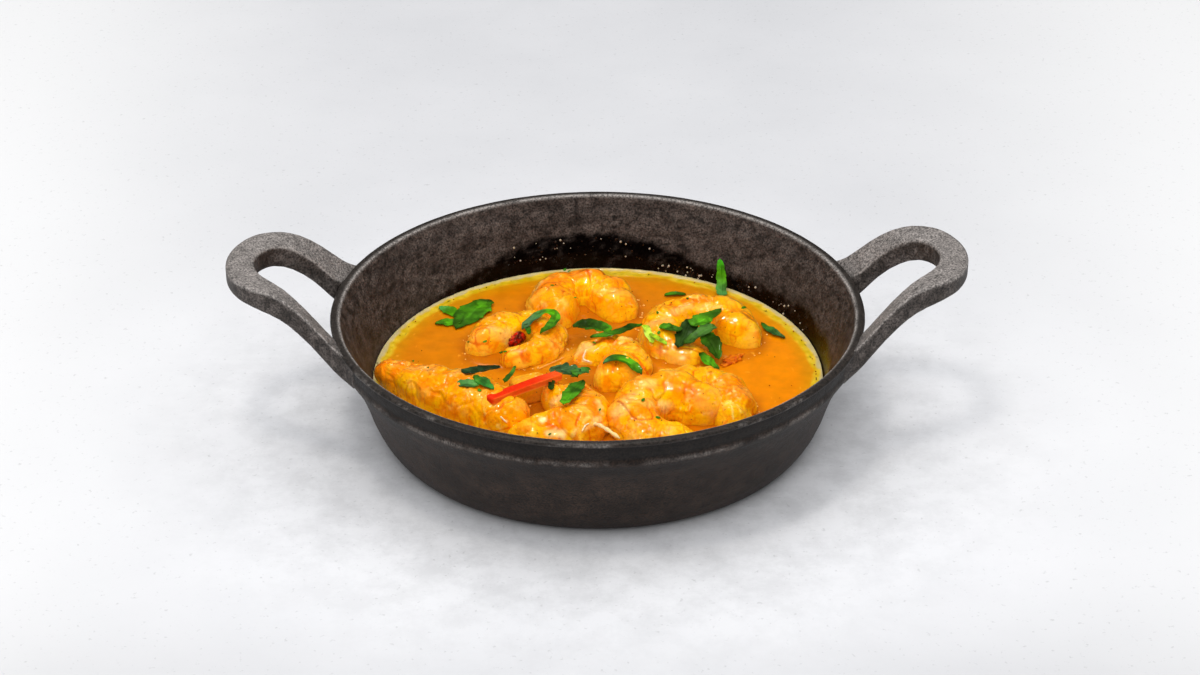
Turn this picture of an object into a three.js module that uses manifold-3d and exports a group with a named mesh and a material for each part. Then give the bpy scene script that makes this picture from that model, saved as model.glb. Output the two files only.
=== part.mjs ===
// Chilli garlic prawns served in a small two-handled cast-iron pan.
// Millimetres, +Z up, origin in the middle of the pan's flat base, the handles along X.
import * as THREE from 'three';
import { mergeVertices } from 'three/addons/utils/BufferGeometryUtils.js';
import Module from 'manifold-3d';

const wasm = await Module();
wasm.setup();

// Driving dimensions
const RIM_HEIGHT = 48.4;      // the lip above the table
const FLOOR_THICKNESS = 4;    // cast floor of the pan
const SAUCE_LEVEL = 19.4;     // 29 mm below the lip
const GAP = 0.3;              // clearance between pieces that touch
const FACET_MARGIN = 0.12;    // added where the facets of two curved skins face each other
const SLIVER = 0.001;         // cubic millimetres, the largest overlap that is left alone
const PAN_SIDES = 56;         // facets round the pan
const HANDLE_REACH = 137.4;   // from the middle of the pan to a handle's tip
const HANDLE_SIDES = 15;      // straight steps along one edge of a handle
const PRAWN_RINGS = 18;       // sections along one prawn
const PRAWN_SIDES = 12;       // corners of one section
const SEGMENTS = 6;           // shell segments that mark a prawn's back
const GROOVE_DEPTH = 0.055;   // of a prawn's half thickness
const FLESH_GAP = 0.7;        // between the two arms of a tightly curled prawn
const LEAF_THICKNESS = 0.5;
const LEAF_STEPS = 6;         // along a leaf
const LEAF_REST = 0.5;        // a leaf above what it lies on

// Outline of the cast wall as radius and height, outside from the base up, then inside from the lip down
const OUTER_WALL = [[77.2, 0], [81.0, 2], [84.9, 8], [88.4, 18], [91.2, 26], [95.3, 34]];
const SHOULDER = [[98.0, 38.4], [97.2, 40.6], [97.5, 45.6], [99.6, 46.4], [100, 47.4], [99.4, 48.4]];
const INNER_WALL = [[96.4, 48.4], [95.4, 46.2], [91.4, 37], [87.3, 26], [84.4, 17.4], [81.3, 10.6], [77, 6]];
const FLOOR_EDGE = 71;        // radius where the flat floor begins

// One handle: its top face as radius and height above the lip, and its depth there
const HANDLE_TOP = [[96.6, -2.8], [102, 2.6], [109, 11.0], [115, 16.8], [121, 19.8], [129, 21.0], [HANDLE_REACH + 1, 21.0]];
const HANDLE_DEPTH = [8.6, 10.4, 9.8, 9.6, 9.2, 7.6, 6.4];
// Half outlines in plan, from the wall to the tip: the outer edge and the finger slot
const HANDLE_OUTER = [[89.4, 38.2], [94.6, 35.2], [100, 32.7], [108, 29.8], [116, 26.8], [122, 24.9], [127, 22.4],
  [131.6, 18.2], [135.2, 11.5], [137.1, 4.2], [HANDLE_REACH, 0]];
const HANDLE_SLOT = [[96.4, 22.0], [100, 20.1], [104, 19.6], [110, 17.9], [116, 15.6], [121, 12.9], [124.8, 9.0],
  [126.5, 4.2], [126.9, 0]];
const ROOT_RADIUS = 96.8;     // the legs end here, inside the thickness of the wall

// A prawn curls round a middle point. Azimuths are in degrees from +X; curl is the distance from that point,
// rise the height of the body's middle and girth its half thickness, each given evenly from head to tail.
const PRAWNS = {
  prawn_front_right: { middle: [24, -42], start: 4, sweep: 318, curl: [17.4, 14, 11.6, 11.8, 13.6],
    rise: [22.5, 25, 23.5, 21, 20.5], girth: [8.4, 9.6, 9.8, 8.8, 6.4] },
  prawn_front_centre: { middle: [-16, -38], start: 115, sweep: -265, curl: [10, 11.5, 11.5, 11.5, 20.4],
    rise: [22.5, 23, 22.5, 22, 21], girth: [6.5, 8.4, 9.2, 9.6, 8.2] },
  prawn_front_left: { middle: [-62, -60], start: 113, sweep: -91, curl: [56, 39, 33.9, 33.6, 34],
    rise: [26.5, 24.6, 23.4, 22.8, 21.5], girth: [4.5, 9.8, 12, 11.6, 9.6] },
  prawn_centre: { middle: [3.5, 2.5], start: -118, sweep: 280, curl: [9, 9, 8.3, 9, 12],
    rise: [20, 21, 21.5, 20.5, 19], girth: [10, 9.3, 8.3, 8, 6] },
  prawn_left: { middle: [-30.5, 19.5], start: 206, sweep: -330, curl: [11, 11.6, 13.2, 11, 11.4],
    rise: [19.5, 20.5, 20.5, 22, 20.5], girth: [9.4, 9, 7.6, 5.8, 4.4] },
  prawn_back_right: { middle: [40, 26.5], start: -32, sweep: 318, curl: [14.2, 14.6, 14.2, 16, 15],
    rise: [20, 20.5, 20.5, 19.5, 17], girth: [9.8, 9.6, 9.1, 8.5, 5.5] },
  prawn_back_centre: { middle: [-5, 49.5], start: -110, sweep: -294, curl: [12, 12.4, 14.2, 12.4, 11.4],
    rise: [20, 20, 20, 20, 19.5], girth: [10.2, 10.4, 9.8, 10, 9.2] },
  prawn_right_behind: { middle: [31, -33], start: 120, sweep: -155, curl: [21, 19, 19.5, 17.5, 16.5],
    rise: [19.5, 20.5, 21, 21, 20], girth: [6.5, 8.5, 9, 8.8, 7] },
};

// Loose lumps in the sauce: middle, half sizes, turn in degrees and how oval they are, 1 a ball and 0 a block
const LUMPS = {
  garlic_slice: { middle: [-25.6, -16.8, 22.8], half: [7.4, 6.0, 4.6], turn: 22, oval: 0.5 },
  chilli_curl: { middle: [-31, 18.6, 24.0], half: [2.6, 4.6, 2.0], turn: -28, oval: 1 },
  chilli_flake: { middle: [51.5, 9.0, 19.9], half: [5.4, 2.4, 1.8], turn: 42, oval: 1 },
};

// The long chilli strip: its two ends and its width and height
const CHILLI_STRIP = { from: [-39.9, -43.6, 33.6], to: [-14.4, -20.2, 30.6], width: 3.8, height: 2.4 };

// Leaves of coriander, each a list of lobes. A lobe is a path of points, a half width along it and its fold.
const LEAVES = {
  leaf_afloat_left: [
    { path: [[-55.2, 35.4, 19.9], [-51.2, 44.6, 20.0], [-46.8, 52, 20.3], [-42.3, 58.4, 20.1]], half: [1.6, 5.2, 5.6, 3.4] },
    { path: [[-52.4, 43.6, 19.9], [-58.2, 50.2, 19.9], [-62.4, 53.4, 19.9]], half: [1.2, 2.6, 0.8] },
    { path: [[-52.8, 41.6, 19.9], [-58.6, 40.6, 19.9], [-63.4, 39.6, 19.9]], half: [1.2, 2.7, 1.0] }],
  leaf_afloat_right: [
    { path: [[64.6, 38.0, 19.9], [68.3, 30.6, 20.0], [73.0, 25.0, 19.9]], half: [0.8, 2.2, 0.6] }],
  leaf_sliver: [{ path: [[27.4, 61.2, 19.9], [31.7, 62.2, 19.9], [36.0, 62.4, 19.9]], half: [0.7, 1.5, 0.6] }],
  leaf_at_wall: [
    { path: [[50.4, 60.4, 20.0], [50.3, 66.4, 25.6], [50.0, 72.0, 31.0]], half: [2.4, 2.3, 0.9], across: [1, -0.2, 0] }],
  leaf_loop: [
    { path: [[-28.9, 22.0, 26.8], [-24.0, 27.8, 29.2], [-19.2, 29.6, 30.6], [-15.8, 25.2, 30.6], [-17.6, 19.2, 29.8],
      [-21.9, 14.4, 29.2]], half: [2.0, 2.2, 1.9, 1.9, 2.0, 1.3] },
    { path: [[-27.6, 24.4, 27.4], [-26.6, 21.6, 26.9], [-26.2, 18.2, 26.6]], half: [1.4, 1.2, 0.6] }],
  leaf_pair_left: [
    { path: [[-9.4, 24.4, 26.8], [-3.9, 22.6, 28.2], [1.2, 19.0, 29.0], [5.0, 14.2, 29.6]], half: [2.6, 4.0, 4.0, 1.6] }],
  leaf_pair_right: [
    { path: [[-2.6, 11.2, 28.6], [4.0, 11.0, 30.2], [10.6, 15.8, 29.8], [17.4, 22.6, 28.2]], half: [1.0, 2.0, 2.4, 0.8] }],
  leaf_crescent: [
    { path: [[1.8, -10.6, 29.8], [6.7, -8.6, 30.6], [11.6, -10.0, 29.7], [16.2, -14.4, 27.0]], half: [0.9, 2.3, 2.5, 1.2] }],
  leaf_cluster_left: [
    { path: [[24.2, 20.2, 28.8], [27.8, 17.8, 29.2], [32.0, 14.0, 29.4]], half: [2.0, 2.6, 2.0] }],
  leaf_cluster_dark: [
    { path: [[36.2, 24.0, 29.8], [34.2, 16.0, 28.4], [30.6, 8.4, 25.4]], half: [1.2, 4.2, 1.4] }],
  leaf_cluster_bright: [
    { path: [[36.0, 18.0, 30.0], [41.4, 21.4, 31.0], [48.2, 27.6, 31.4]], half: [3.4, 3.6, 0.9] }],
  leaf_cluster_veined: [
    { path: [[45.0, 17.0, 30.6], [39.6, 12.8, 29.6], [32.8, 8.0, 27.2]], half: [3.2, 3.2, 1.0] }],
  leaf_cluster_right: [
    { path: [[41.2, 12.6, 29.0], [44.0, 8.8, 26.4], [46.2, 4.4, 22.6]], half: [3.4, 3.6, 1.4] }],
  leaf_cluster_low: [
    { path: [[38.6, 5.4, 24.8], [42.2, 2.6, 22.4], [46.0, -0.4, 20.6]], half: [1.4, 2.4, 1.2] }],
  leaf_stem: [
    { path: [[18.2, 22.4, 27.8], [20.2, 15.4, 27.2], [21.0, 11.8, 25.8]], half: [1.5, 1.7, 1.0] },
    { path: [[20.0, 16.0, 27.4], [23.2, 12.4, 27.2], [26.4, 9.6, 26.4]], half: [1.0, 1.3, 0.9] }],
  leaf_dark_left: [
    { path: [[-50.4, -26.4, 35.2], [-43.6, -22.4, 34.4], [-36.8, -15.4, 31.4]], half: [2.2, 2.9, 1.4] }],
  leaf_pale_left: [
    { path: [[-51.8, -32.4, 34.2], [-47.1, -34.2, 35.0], [-43.2, -34.4, 35.4]], half: [1.2, 3.0, 1.4] }],
  leaf_bright_left: [
    { path: [[-45.9, -29.6, 35.6], [-42.2, -33.6, 35.6], [-38.4, -38.0, 34.4]], half: [1.2, 2.6, 0.9] }],
  leaf_sprig: [
    { path: [[-34.6, -30.6, 33.4], [-32.3, -25.4, 33.6], [-30.7, -19.6, 33.8]], half: [1.1, 0.9, 0.5] }],
  leaf_jagged: [
    { path: [[-17.6, -13.4, 29.6], [-12.4, -17.4, 31.2], [-7.6, -23.6, 31.6]], half: [2.4, 4.2, 1.8] },
    { path: [[-9.6, -21.8, 31.6], [-6.2, -19.4, 31.6], [-3.4, -16.8, 31.2]], half: [2.0, 2.5, 0.9] }],
  leaf_low: [
    { path: [[-5.6, -28.6, 32.6], [-8.8, -34.8, 32.6], [-13.2, -46.4, 33.0]], half: [1.0, 3.4, 1.6] }],
  leaf_chip: [{ path: [[-17.4, -25.4, 31.0], [-17.6, -31.4, 30.8]], half: [1.3, 1.0] }],
};

// Finishes
const CAST_IRON = { color: '#3a3532', roughness: 0.62, metalness: 0.35 };
const SAUCE = { color: '#e88400', roughness: 0.25, metalness: 0 };
const PRAWN_FLESH = { color: '#ffab1c', roughness: 0.38, metalness: 0 };
const CORIANDER = { color: '#2f7a1e', roughness: 0.5, metalness: 0 };
const STEM_GREEN = { color: '#a9c832', roughness: 0.5, metalness: 0 };
const RED_CHILLI = { color: '#e6300a', roughness: 0.3, metalness: 0 };
const DRIED_CHILLI = { color: '#7c1608', roughness: 0.4, metalness: 0 };
const GARLIC = { color: '#f6b53a', roughness: 0.35, metalness: 0 };

const radians = (degrees) => degrees * Math.PI / 180;

// A value given evenly along a piece, read at t from 0 to 1 on a smooth curve through the given ones
function along(values, t) {
  const points = values.map((value, i) => new THREE.Vector2(i, value));
  return new THREE.SplineCurve(points).getPoint(Math.min(1, Math.max(0, t))).y;
}

// The closed solid of a three.js geometry, with its doubled points merged and its flat triangles dropped
function solidOf(geometry) {
  geometry.deleteAttribute('normal');
  geometry.deleteAttribute('uv');
  const merged = mergeVertices(geometry, 1e-4);
  const index = merged.getIndex().array;
  const corners = [];
  for (let i = 0; i < index.length; i += 3) {
    const [a, b, c] = index.slice(i, i + 3);
    if (a !== b && b !== c && c !== a) corners.push(a, b, c);
  }
  const points = new Float32Array(merged.getAttribute('position').array);
  const solid = new wasm.Manifold(new wasm.Mesh({ numProp: 3, vertProperties: points, triVerts: new Uint32Array(corners) }));
  return solid;
}

// The three.js mesh of a solid
function meshOf(name, solid, finish) {
  const { numProp, vertProperties, triVerts } = solid.getMesh();
  const positions = new Float32Array(vertProperties.length / numProp * 3);
  for (let i = 0; i < positions.length / 3; i += 1) {
    positions.set(vertProperties.slice(i * numProp, i * numProp + 3), i * 3);
  }
  const geometry = new THREE.BufferGeometry();
  geometry.setAttribute('position', new THREE.BufferAttribute(positions, 3));
  geometry.setIndex(Array.from(triVerts));
  geometry.computeVertexNormals();
  const mesh = new THREE.Mesh(geometry, new THREE.MeshStandardMaterial(finish));
  mesh.name = name;
  return mesh;
}

// A solid cut clear of the pieces that it meets, a gap away from each, without the scraps that the cuts leave
function clearOf(solid, others) {
  const biggest = (cut) => cut.decompose().reduce((best, body) => (body.volume() > best.volume() ? body : best));
  let rest = solid;
  for (const { body, grown } of others) {
    const [mine, theirs] = [rest.boundingBox(), grown.boundingBox()];
    if ([0, 1, 2].some((i) => mine.min[i] > theirs.max[i] || theirs.min[i] > mine.max[i])) continue;
    rest = biggest(rest.subtract(grown));
    if (rest.intersect(body).volume() > SLIVER) rest = biggest(rest.subtract(body));
  }
  return rest;
}

// A solid of revolution about Z from a profile of radii and heights
function turned(profile, sides) {
  const points = profile.map(([radius, height]) => new THREE.Vector2(radius, height));
  const geometry = new THREE.LatheGeometry(points, sides);
  geometry.rotateX(Math.PI / 2);
  return solidOf(geometry);
}

// One handle: the ring that the two handles are cut from, bounded by the U shape of the handle in plan
function handle() {
  const top = HANDLE_TOP.map(([radius, above]) => [radius, RIM_HEIGHT + above]);
  const bottom = top.map(([radius, height], i) => [radius, height - HANDLE_DEPTH[i]]).reverse();
  const ring = turned([...bottom.reverse(), ...top.reverse(), bottom[0]], Math.round(PAN_SIDES * 1.5));
  const halfEdge = (stations, steps) => new THREE.SplineCurve(stations.map(([x, y]) => new THREE.Vector2(x, y)))
    .getPoints(steps);
  const outer = halfEdge(HANDLE_OUTER, HANDLE_SIDES);
  const slot = halfEdge(HANDLE_SLOT, HANDLE_SIDES - 4);
  const mirrored = (points) => points.slice(0, -1).reverse().map(({ x, y }) => new THREE.Vector2(x, -y));
  const root = (y) => new THREE.Vector2(Math.sqrt(ROOT_RADIUS ** 2 - y ** 2), y);
  const outline = new THREE.Shape([
    root(-slot[0].y), root(-(slot[0].y + outer[0].y) / 2), ...mirrored(outer).reverse(), ...outer.slice().reverse(),
    root((slot[0].y + outer[0].y) / 2), root(slot[0].y), ...slot, ...mirrored(slot)]);
  const block = new THREE.ExtrudeGeometry(outline, { depth: RIM_HEIGHT, bevelEnabled: false });
  block.translate(0, 0, RIM_HEIGHT / 2);
  return ring.intersect(solidOf(block));
}

// The pan with both handles, cast in one piece
function pan() {
  const wall = [[0, 0], ...OUTER_WALL, ...SHOULDER, ...INNER_WALL, [FLOOR_EDGE, FLOOR_THICKNESS], [0, FLOOR_THICKNESS]];
  const right = handle();
  return turned(wall, PAN_SIDES).add(right).add(right.rotate([0, 0, 180]));
}

// The sauce before the pieces are cut from it: it fills the pan up to its level, a gap clear of the wall
function sauceBody() {
  const inside = [...INNER_WALL].reverse().filter(([, height]) => height < SAUCE_LEVEL);
  const [lowRadius, lowHeight] = INNER_WALL[INNER_WALL.length - inside.length];
  const [highRadius, highHeight] = INNER_WALL[INNER_WALL.length - inside.length - 1];
  const edge = lowRadius + (highRadius - lowRadius) * (SAUCE_LEVEL - lowHeight) / (highHeight - lowHeight);
  const base = FLOOR_THICKNESS + GAP;
  return turned([[0, base], [FLOOR_EDGE - GAP, base], ...inside.map(([radius, height]) => [radius - GAP * 1.3, height]),
    [edge - GAP * 1.3, SAUCE_LEVEL], [0, SAUCE_LEVEL]], PAN_SIDES);
}

// A prawn's middle line at t, its half thickness, and the half thickness towards the middle of the curl
function bodyAt(prawn, t) {
  const azimuth = radians(prawn.start + prawn.sweep * t);
  const reach = along(prawn.curl, t);
  const girth = along(prawn.girth, t);
  const centre = new THREE.Vector3(prawn.middle[0] + reach * Math.cos(azimuth),
    prawn.middle[1] + reach * Math.sin(azimuth), along(prawn.rise, t));
  return { centre, girth, inner: Math.min(girth, reach - FLESH_GAP), outward: new THREE.Vector3(Math.cos(azimuth), Math.sin(azimuth), 0) };
}

// A closed skin over rings of points, with a pole at each end
function skin(rings, first, last) {
  const sides = rings[0].length;
  const points = [first, ...rings.flat(), last];
  const at = (ring, side) => 1 + ring * sides + (side % sides);
  const corners = [];
  for (let side = 0; side < sides; side += 1) {
    corners.push(0, at(0, side + 1), at(0, side));
    corners.push(points.length - 1, at(rings.length - 1, side), at(rings.length - 1, side + 1));
    for (let ring = 0; ring + 1 < rings.length; ring += 1) {
      corners.push(at(ring, side), at(ring, side + 1), at(ring + 1, side + 1));
      corners.push(at(ring, side), at(ring + 1, side + 1), at(ring + 1, side));
    }
  }
  const geometry = new THREE.BufferGeometry().setFromPoints(points);
  geometry.setIndex(corners);
  return geometry;
}

// A geometry turned inside out
function flipped(geometry) {
  const index = geometry.getIndex().array;
  for (let i = 0; i < index.length; i += 3) [index[i + 1], index[i + 2]] = [index[i + 2], index[i + 1]];
  return geometry;
}

// A prawn: oval sections along its curl, round at both ends, pinched between the shell segments.
// grow is a skin added all over, for cutting its neighbours clear of it.
function prawnSolid(prawn, grow = 0) {
  const length = Math.abs(radians(prawn.sweep)) * along(prawn.curl, 0.5);
  const ends = [prawn.girth[0] * 0.6 + grow, prawn.girth[prawn.girth.length - 1] * 0.95 + grow];
  const ringAt = (u) => {
    const distance = -grow + (length + 2 * grow) * u;
    const t = Math.min(1, Math.max(0, distance / length));
    const { centre, girth, inner, outward } = bodyAt(prawn, t);
    const before = bodyAt(prawn, t - 0.01 < 0 ? 0 : t - 0.01).centre;
    const after = bodyAt(prawn, t + 0.01 > 1 ? 1 : t + 0.01).centre;
    const forward = after.sub(before).normalize();
    centre.addScaledVector(forward, distance - t * length);
    const side = new THREE.Vector3(forward.y, -forward.x, 0).normalize();
    side.multiplyScalar(Math.sign(side.dot(outward)) || 1);
    const up = new THREE.Vector3().crossVectors(side, forward);
    up.multiplyScalar(Math.sign(up.z) || 1);
    const fromHead = Math.min(1, (distance + grow) / ends[0]);
    const fromTail = Math.min(1, (length + grow - distance) / ends[1]);
    const round = Math.sqrt(1 - (1 - fromHead) ** 2) * Math.sqrt(1 - (1 - fromTail) ** 2);
    const pinch = 1 - GROOVE_DEPTH * Math.abs(Math.cos(Math.PI * SEGMENTS * t)) ** 6;
    const corners = [];
    for (let i = 0; i < PRAWN_SIDES; i += 1) {
      const angle = 2 * Math.PI * (i + 0.5) / PRAWN_SIDES;
      const across = Math.cos(angle) > 0 ? girth * pinch : inner;
      corners.push(centre.clone()
        .addScaledVector(side, (across + grow) * round * Math.cos(angle))
        .addScaledVector(up, (girth * pinch + grow) * round * Math.sin(angle)));
    }
    return { centre, corners };
  };
  const rings = [];
  for (let i = 0; i <= PRAWN_RINGS; i += 1) {
    const even = i / PRAWN_RINGS;
    rings.push(ringAt(0.65 * even + 0.35 * (0.5 - 0.5 * Math.cos(Math.PI * even))));
  }
  const inside = rings.slice(1, -1).map(({ corners }) => corners);
  const geometry = skin(inside, rings[0].centre, rings[rings.length - 1].centre);
  const solid = solidOf(prawn.sweep > 0 ? flipped(geometry) : geometry);
  return solid;
}

// A lump of garlic or chilli: a ball whose directions are drawn towards the corners of a block
function lumpSolid({ middle, half, turn, oval }, grow = 0) {
  const geometry = new THREE.SphereGeometry(1, 12, 8);
  geometry.rotateX(Math.PI / 2);
  const places = geometry.attributes.position;
  const drawn = (value) => Math.sign(value) * Math.abs(value) ** oval;
  for (let i = 0; i < places.count; i += 1) {
    places.setXYZ(i, drawn(places.getX(i)), drawn(places.getY(i)), drawn(places.getZ(i)));
  }
  geometry.scale(half[0] + grow, half[1] + grow, half[2] + grow);
  geometry.rotateZ(radians(turn));
  geometry.translate(...middle);
  return solidOf(geometry);
}

// The chilli strip: a straight sliver of the pod's wall, square at its ends
function stripSolid({ from, to, width, height }, grow = 0) {
  const start = new THREE.Vector3(...from);
  const run = new THREE.Vector3(...to).sub(start);
  const geometry = new THREE.BoxGeometry(run.length() + 2 * grow, width + 2 * grow, height + 2 * grow);
  const forward = run.clone().normalize();
  const side = new THREE.Vector3(-forward.y, forward.x, 0).normalize();
  const up = new THREE.Vector3().crossVectors(forward, side);
  const turn = new THREE.Matrix4().makeBasis(forward, side, up).setPosition(start.addScaledVector(run, 0.5));
  geometry.applyMatrix4(turn);
  return solidOf(geometry);
}

// Height of what a leaf can lie on at a place: the sauce or the upper side of a prawn
function restHeight(x, y) {
  let height = SAUCE_LEVEL;
  for (const prawn of Object.values(PRAWNS)) {
    for (let t = 0; t <= 1; t += 0.02) {
      const { centre, girth } = bodyAt(prawn, t);
      const away = Math.hypot(centre.x - x, centre.y - y);
      if (away < girth) height = Math.max(height, centre.z + Math.sqrt(girth ** 2 - away ** 2));
    }
  }
  return height;
}

// One lobe of a leaf: a ribbon on its path, raised where it would sink into what it lies on, its edges lifted
function lobeSolid({ path, half, across }, grow = 0) {
  const curve = new THREE.CatmullRomCurve3(path.map((point) => new THREE.Vector3(...point)));
  const rows = [];
  for (let i = 0; i <= LEAF_STEPS; i += 1) {
    const t = i / LEAF_STEPS;
    const centre = curve.getPoint(t);
    const forward = curve.getTangent(t);
    if (i === 0) centre.addScaledVector(forward, -grow);
    if (i === LEAF_STEPS) centre.addScaledVector(forward, grow);
    const side = across ? new THREE.Vector3(...across).normalize()
      : new THREE.Vector3(-forward.y, forward.x, 0).normalize();
    const reach = along(half, t) + grow;
    const wave = 0.25 * Math.sin(7 * t + path[0][0]);
    rows.push([-1, 0, 1].map((v) => {
      const point = centre.clone().addScaledVector(side, v * reach);
      point.z += v * wave;
      if (!across) point.z = Math.max(point.z, restHeight(point.x, point.y) + LEAF_REST);
      return point;
    }));
  }
  const rings = rows.map(([left, middle, right]) => {
    const thick = LEAF_THICKNESS + 2 * grow;
    const raise = (point, lift) => (across ? point.clone().add(new THREE.Vector3(0, lift, 0)) : point.clone().setZ(point.z + lift));
    return [left, middle, right, ...[right, middle, left].map((point) => raise(point, thick))]
      .map((point) => raise(point, -grow));
  });
  const middleOf = (ring) => ring[1].clone().add(ring[4]).multiplyScalar(0.5);
  const geometry = skin(rings, middleOf(rings[0]), middleOf(rings[rings.length - 1]));
  const solid = solidOf(geometry);
  return solid;
}

// A whole leaf: its lobes joined
function leafSolid(lobes, grow = 0) {
  return lobes.map((lobe) => lobeSolid(lobe, grow)).reduce((whole, lobe) => whole.add(lobe));
}

// Every loose piece in the order in which it was laid: a later one gives way to those before it
const pieces = [
  ...Object.entries(PRAWNS).map(([name, size]) => ({ name, finish: PRAWN_FLESH, make: (grow) => prawnSolid(size, grow) })),
  { name: 'garlic_slice', finish: GARLIC, make: (grow) => lumpSolid(LUMPS.garlic_slice, grow) },
  { name: 'chilli_curl', finish: DRIED_CHILLI, make: (grow) => lumpSolid(LUMPS.chilli_curl, grow) },
  { name: 'chilli_flake', finish: DRIED_CHILLI, make: (grow) => lumpSolid(LUMPS.chilli_flake, grow) },
  { name: 'chilli_strip', finish: RED_CHILLI, make: (grow) => stripSolid(CHILLI_STRIP, grow) },
  ...Object.entries(LEAVES).map(([name, lobes]) => ({
    name, finish: name === 'leaf_stem' ? STEM_GREEN : CORIANDER, make: (grow) => leafSolid(lobes, grow) })),
];

const dish = new THREE.Group();
const panSolid = pan();
dish.add(meshOf('pan', panSolid, CAST_IRON));

const laid = [];
for (const { name, finish, make } of pieces) {
  const solid = clearOf(make(0), laid);
  dish.add(meshOf(name, solid, finish));
  laid.push({ body: solid, grown: make(GAP + FACET_MARGIN) });
}
const sauce = clearOf(sauceBody(), laid);
dish.add(meshOf('sauce', sauce, SAUCE));

export default dish;
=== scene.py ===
# %% [markdown]
# Chilli garlic prawns in a two-handled cast-iron pan.
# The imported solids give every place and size. They load first, and each finer surface in this file is then
# worked out in the same frame: +Z up, the origin in the middle of the pan's base, the handles along X.

import bpy
import numpy as np
from mathutils import Matrix


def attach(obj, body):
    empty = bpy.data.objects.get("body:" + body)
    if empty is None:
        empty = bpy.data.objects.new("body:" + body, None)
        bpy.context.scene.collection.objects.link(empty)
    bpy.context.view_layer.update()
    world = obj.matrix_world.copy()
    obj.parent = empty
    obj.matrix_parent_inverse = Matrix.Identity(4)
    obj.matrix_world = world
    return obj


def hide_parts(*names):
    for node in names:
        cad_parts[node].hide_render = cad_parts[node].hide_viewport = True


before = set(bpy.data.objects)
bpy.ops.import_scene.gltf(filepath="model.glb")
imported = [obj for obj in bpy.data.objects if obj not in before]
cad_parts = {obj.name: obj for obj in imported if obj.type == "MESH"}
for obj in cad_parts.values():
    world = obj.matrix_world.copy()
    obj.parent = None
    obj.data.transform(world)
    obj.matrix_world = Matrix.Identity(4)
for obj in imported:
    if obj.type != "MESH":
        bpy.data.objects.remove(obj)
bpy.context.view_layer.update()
MM = 0.001  # the helpers below work in millimetres, Blender in metres
print("solids:", len(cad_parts))

# %% [markdown]
# Blender stores light, not screen colours, so a colour given as an sRGB hex value has to be made linear.
# One function does it, and nothing else in this file converts a colour.

# %% Colours


def linear(hex_value):
    """An sRGB hex value as three linear numbers: each channel c is c/12.92 if dark, else ((c+0.055)/1.055)^2.4."""
    channels = np.array([int(hex_value[i:i + 2], 16) for i in (1, 3, 5)]) / 255
    return np.where(channels <= 0.04045, channels / 12.92, ((channels + 0.055) / 1.055) ** 2.4)


def blend(first, second, share):
    """Between two colours, or two lists of colours, by a share from 0 to 1 at each point."""
    share = np.clip(share, 0, 1)[..., None]
    return first * (1 - share) + second * share


def smooth_step(low, high, value):
    """0 below low, 1 above high, and 3x^2 - 2x^3 between them."""
    x = np.clip((value - low) / (high - low), 0, 1)
    return x * x * (3 - 2 * x)


print("sauce orange, linear:", linear("#f08c00").round(3))

# %% [markdown]
# Cooked food is uneven at every size, and so is sand-cast iron. A repeatable noise gives that unevenness: a fixed
# value sits at each corner of a cubic lattice, and the values between the corners are blended smoothly. The
# bigger the lattice, the broader the lumps. No random draw is needed, so every run gives the same dish.

# %% Noise


def noise(points, size, seed=0):
    """Smooth noise from -1 to 1 over points in mm: values hashed from the corners of a lattice of the given size,
    blended between the corners by 3f^2 - 2f^3 along each axis."""
    place = np.asarray(points, float) / size
    corner = np.floor(place).astype(np.int64)
    f = place - corner
    f = f * f * (3 - 2 * f)
    total = np.zeros(place.shape[:-1])
    for dx in (0, 1):
        for dy in (0, 1):
            for dz in (0, 1):
                x, y, z = corner[..., 0] + dx, corner[..., 1] + dy, corner[..., 2] + dz
                mixed = (x * 374761393 + y * 668265263 + z * 1103515245 + seed * 1274126177) & 0xFFFFFFFF
                mixed = ((mixed ^ (mixed >> 13)) * 1274126177) & 0xFFFFFFFF
                mixed = mixed ^ (mixed >> 16)
                weight = (f[..., 0] if dx else 1 - f[..., 0]) * (f[..., 1] if dy else 1 - f[..., 1])
                weight = weight * (f[..., 2] if dz else 1 - f[..., 2])
                total += weight * (mixed / 0x7FFFFFFF - 1)
    return total


def layered(points, size, seed=0, octaves=3):
    """Noise of one size plus finer layers, each half as large and half as strong."""
    return sum(noise(points, size / 2 ** k, seed + k) / 2 ** k for k in range(octaves)) / 1.6


print("noise at three places:", noise(np.array([[1, 2, 3], [4, 5, 6], [7, 8, 9]]), 5).round(2))

# %% [markdown]
# Every new piece is a grid of points, computed as one array and joined into quads. Closed pieces end in a pole
# or wrap round. The sign of the enclosed volume tells whether the faces look outwards, and they are turned
# if they don't.

# %% Surfaces


def grid_faces(rows, columns, wrap_rows=False, wrap_columns=False, start=0):
    """Quads over a grid of rows x columns points numbered row by row."""
    r = np.arange(rows if wrap_rows else rows - 1)[:, None]
    c = np.arange(columns if wrap_columns else columns - 1)[None, :]
    r2, c2 = (r + 1) % rows, (c + 1) % columns
    quads = [r * columns + c, r * columns + c2, r2 * columns + c2, r2 * columns + c]
    return np.stack(np.broadcast_arrays(*quads), -1).reshape(-1, 4) + start


def closed_skin(rings, first, last):
    """Rings of points (rings x sides x 3) joined in order and closed at both ends by a fan of triangles round a
    pole. Gives the points, the quads and the triangles."""
    count, sides = rings.shape[:2]
    points = np.concatenate([rings.reshape(-1, 3), np.atleast_2d(first), np.atleast_2d(last)])
    side = np.arange(sides)
    after = (side + 1) % sides
    top, end = count * sides, (count - 1) * sides
    fans = np.concatenate([np.stack([np.full(sides, top), after, side], -1),
                           np.stack([np.full(sides, top + 1), end + side, end + after], -1)])
    return points, grid_faces(count, sides, wrap_columns=True), fans


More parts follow.
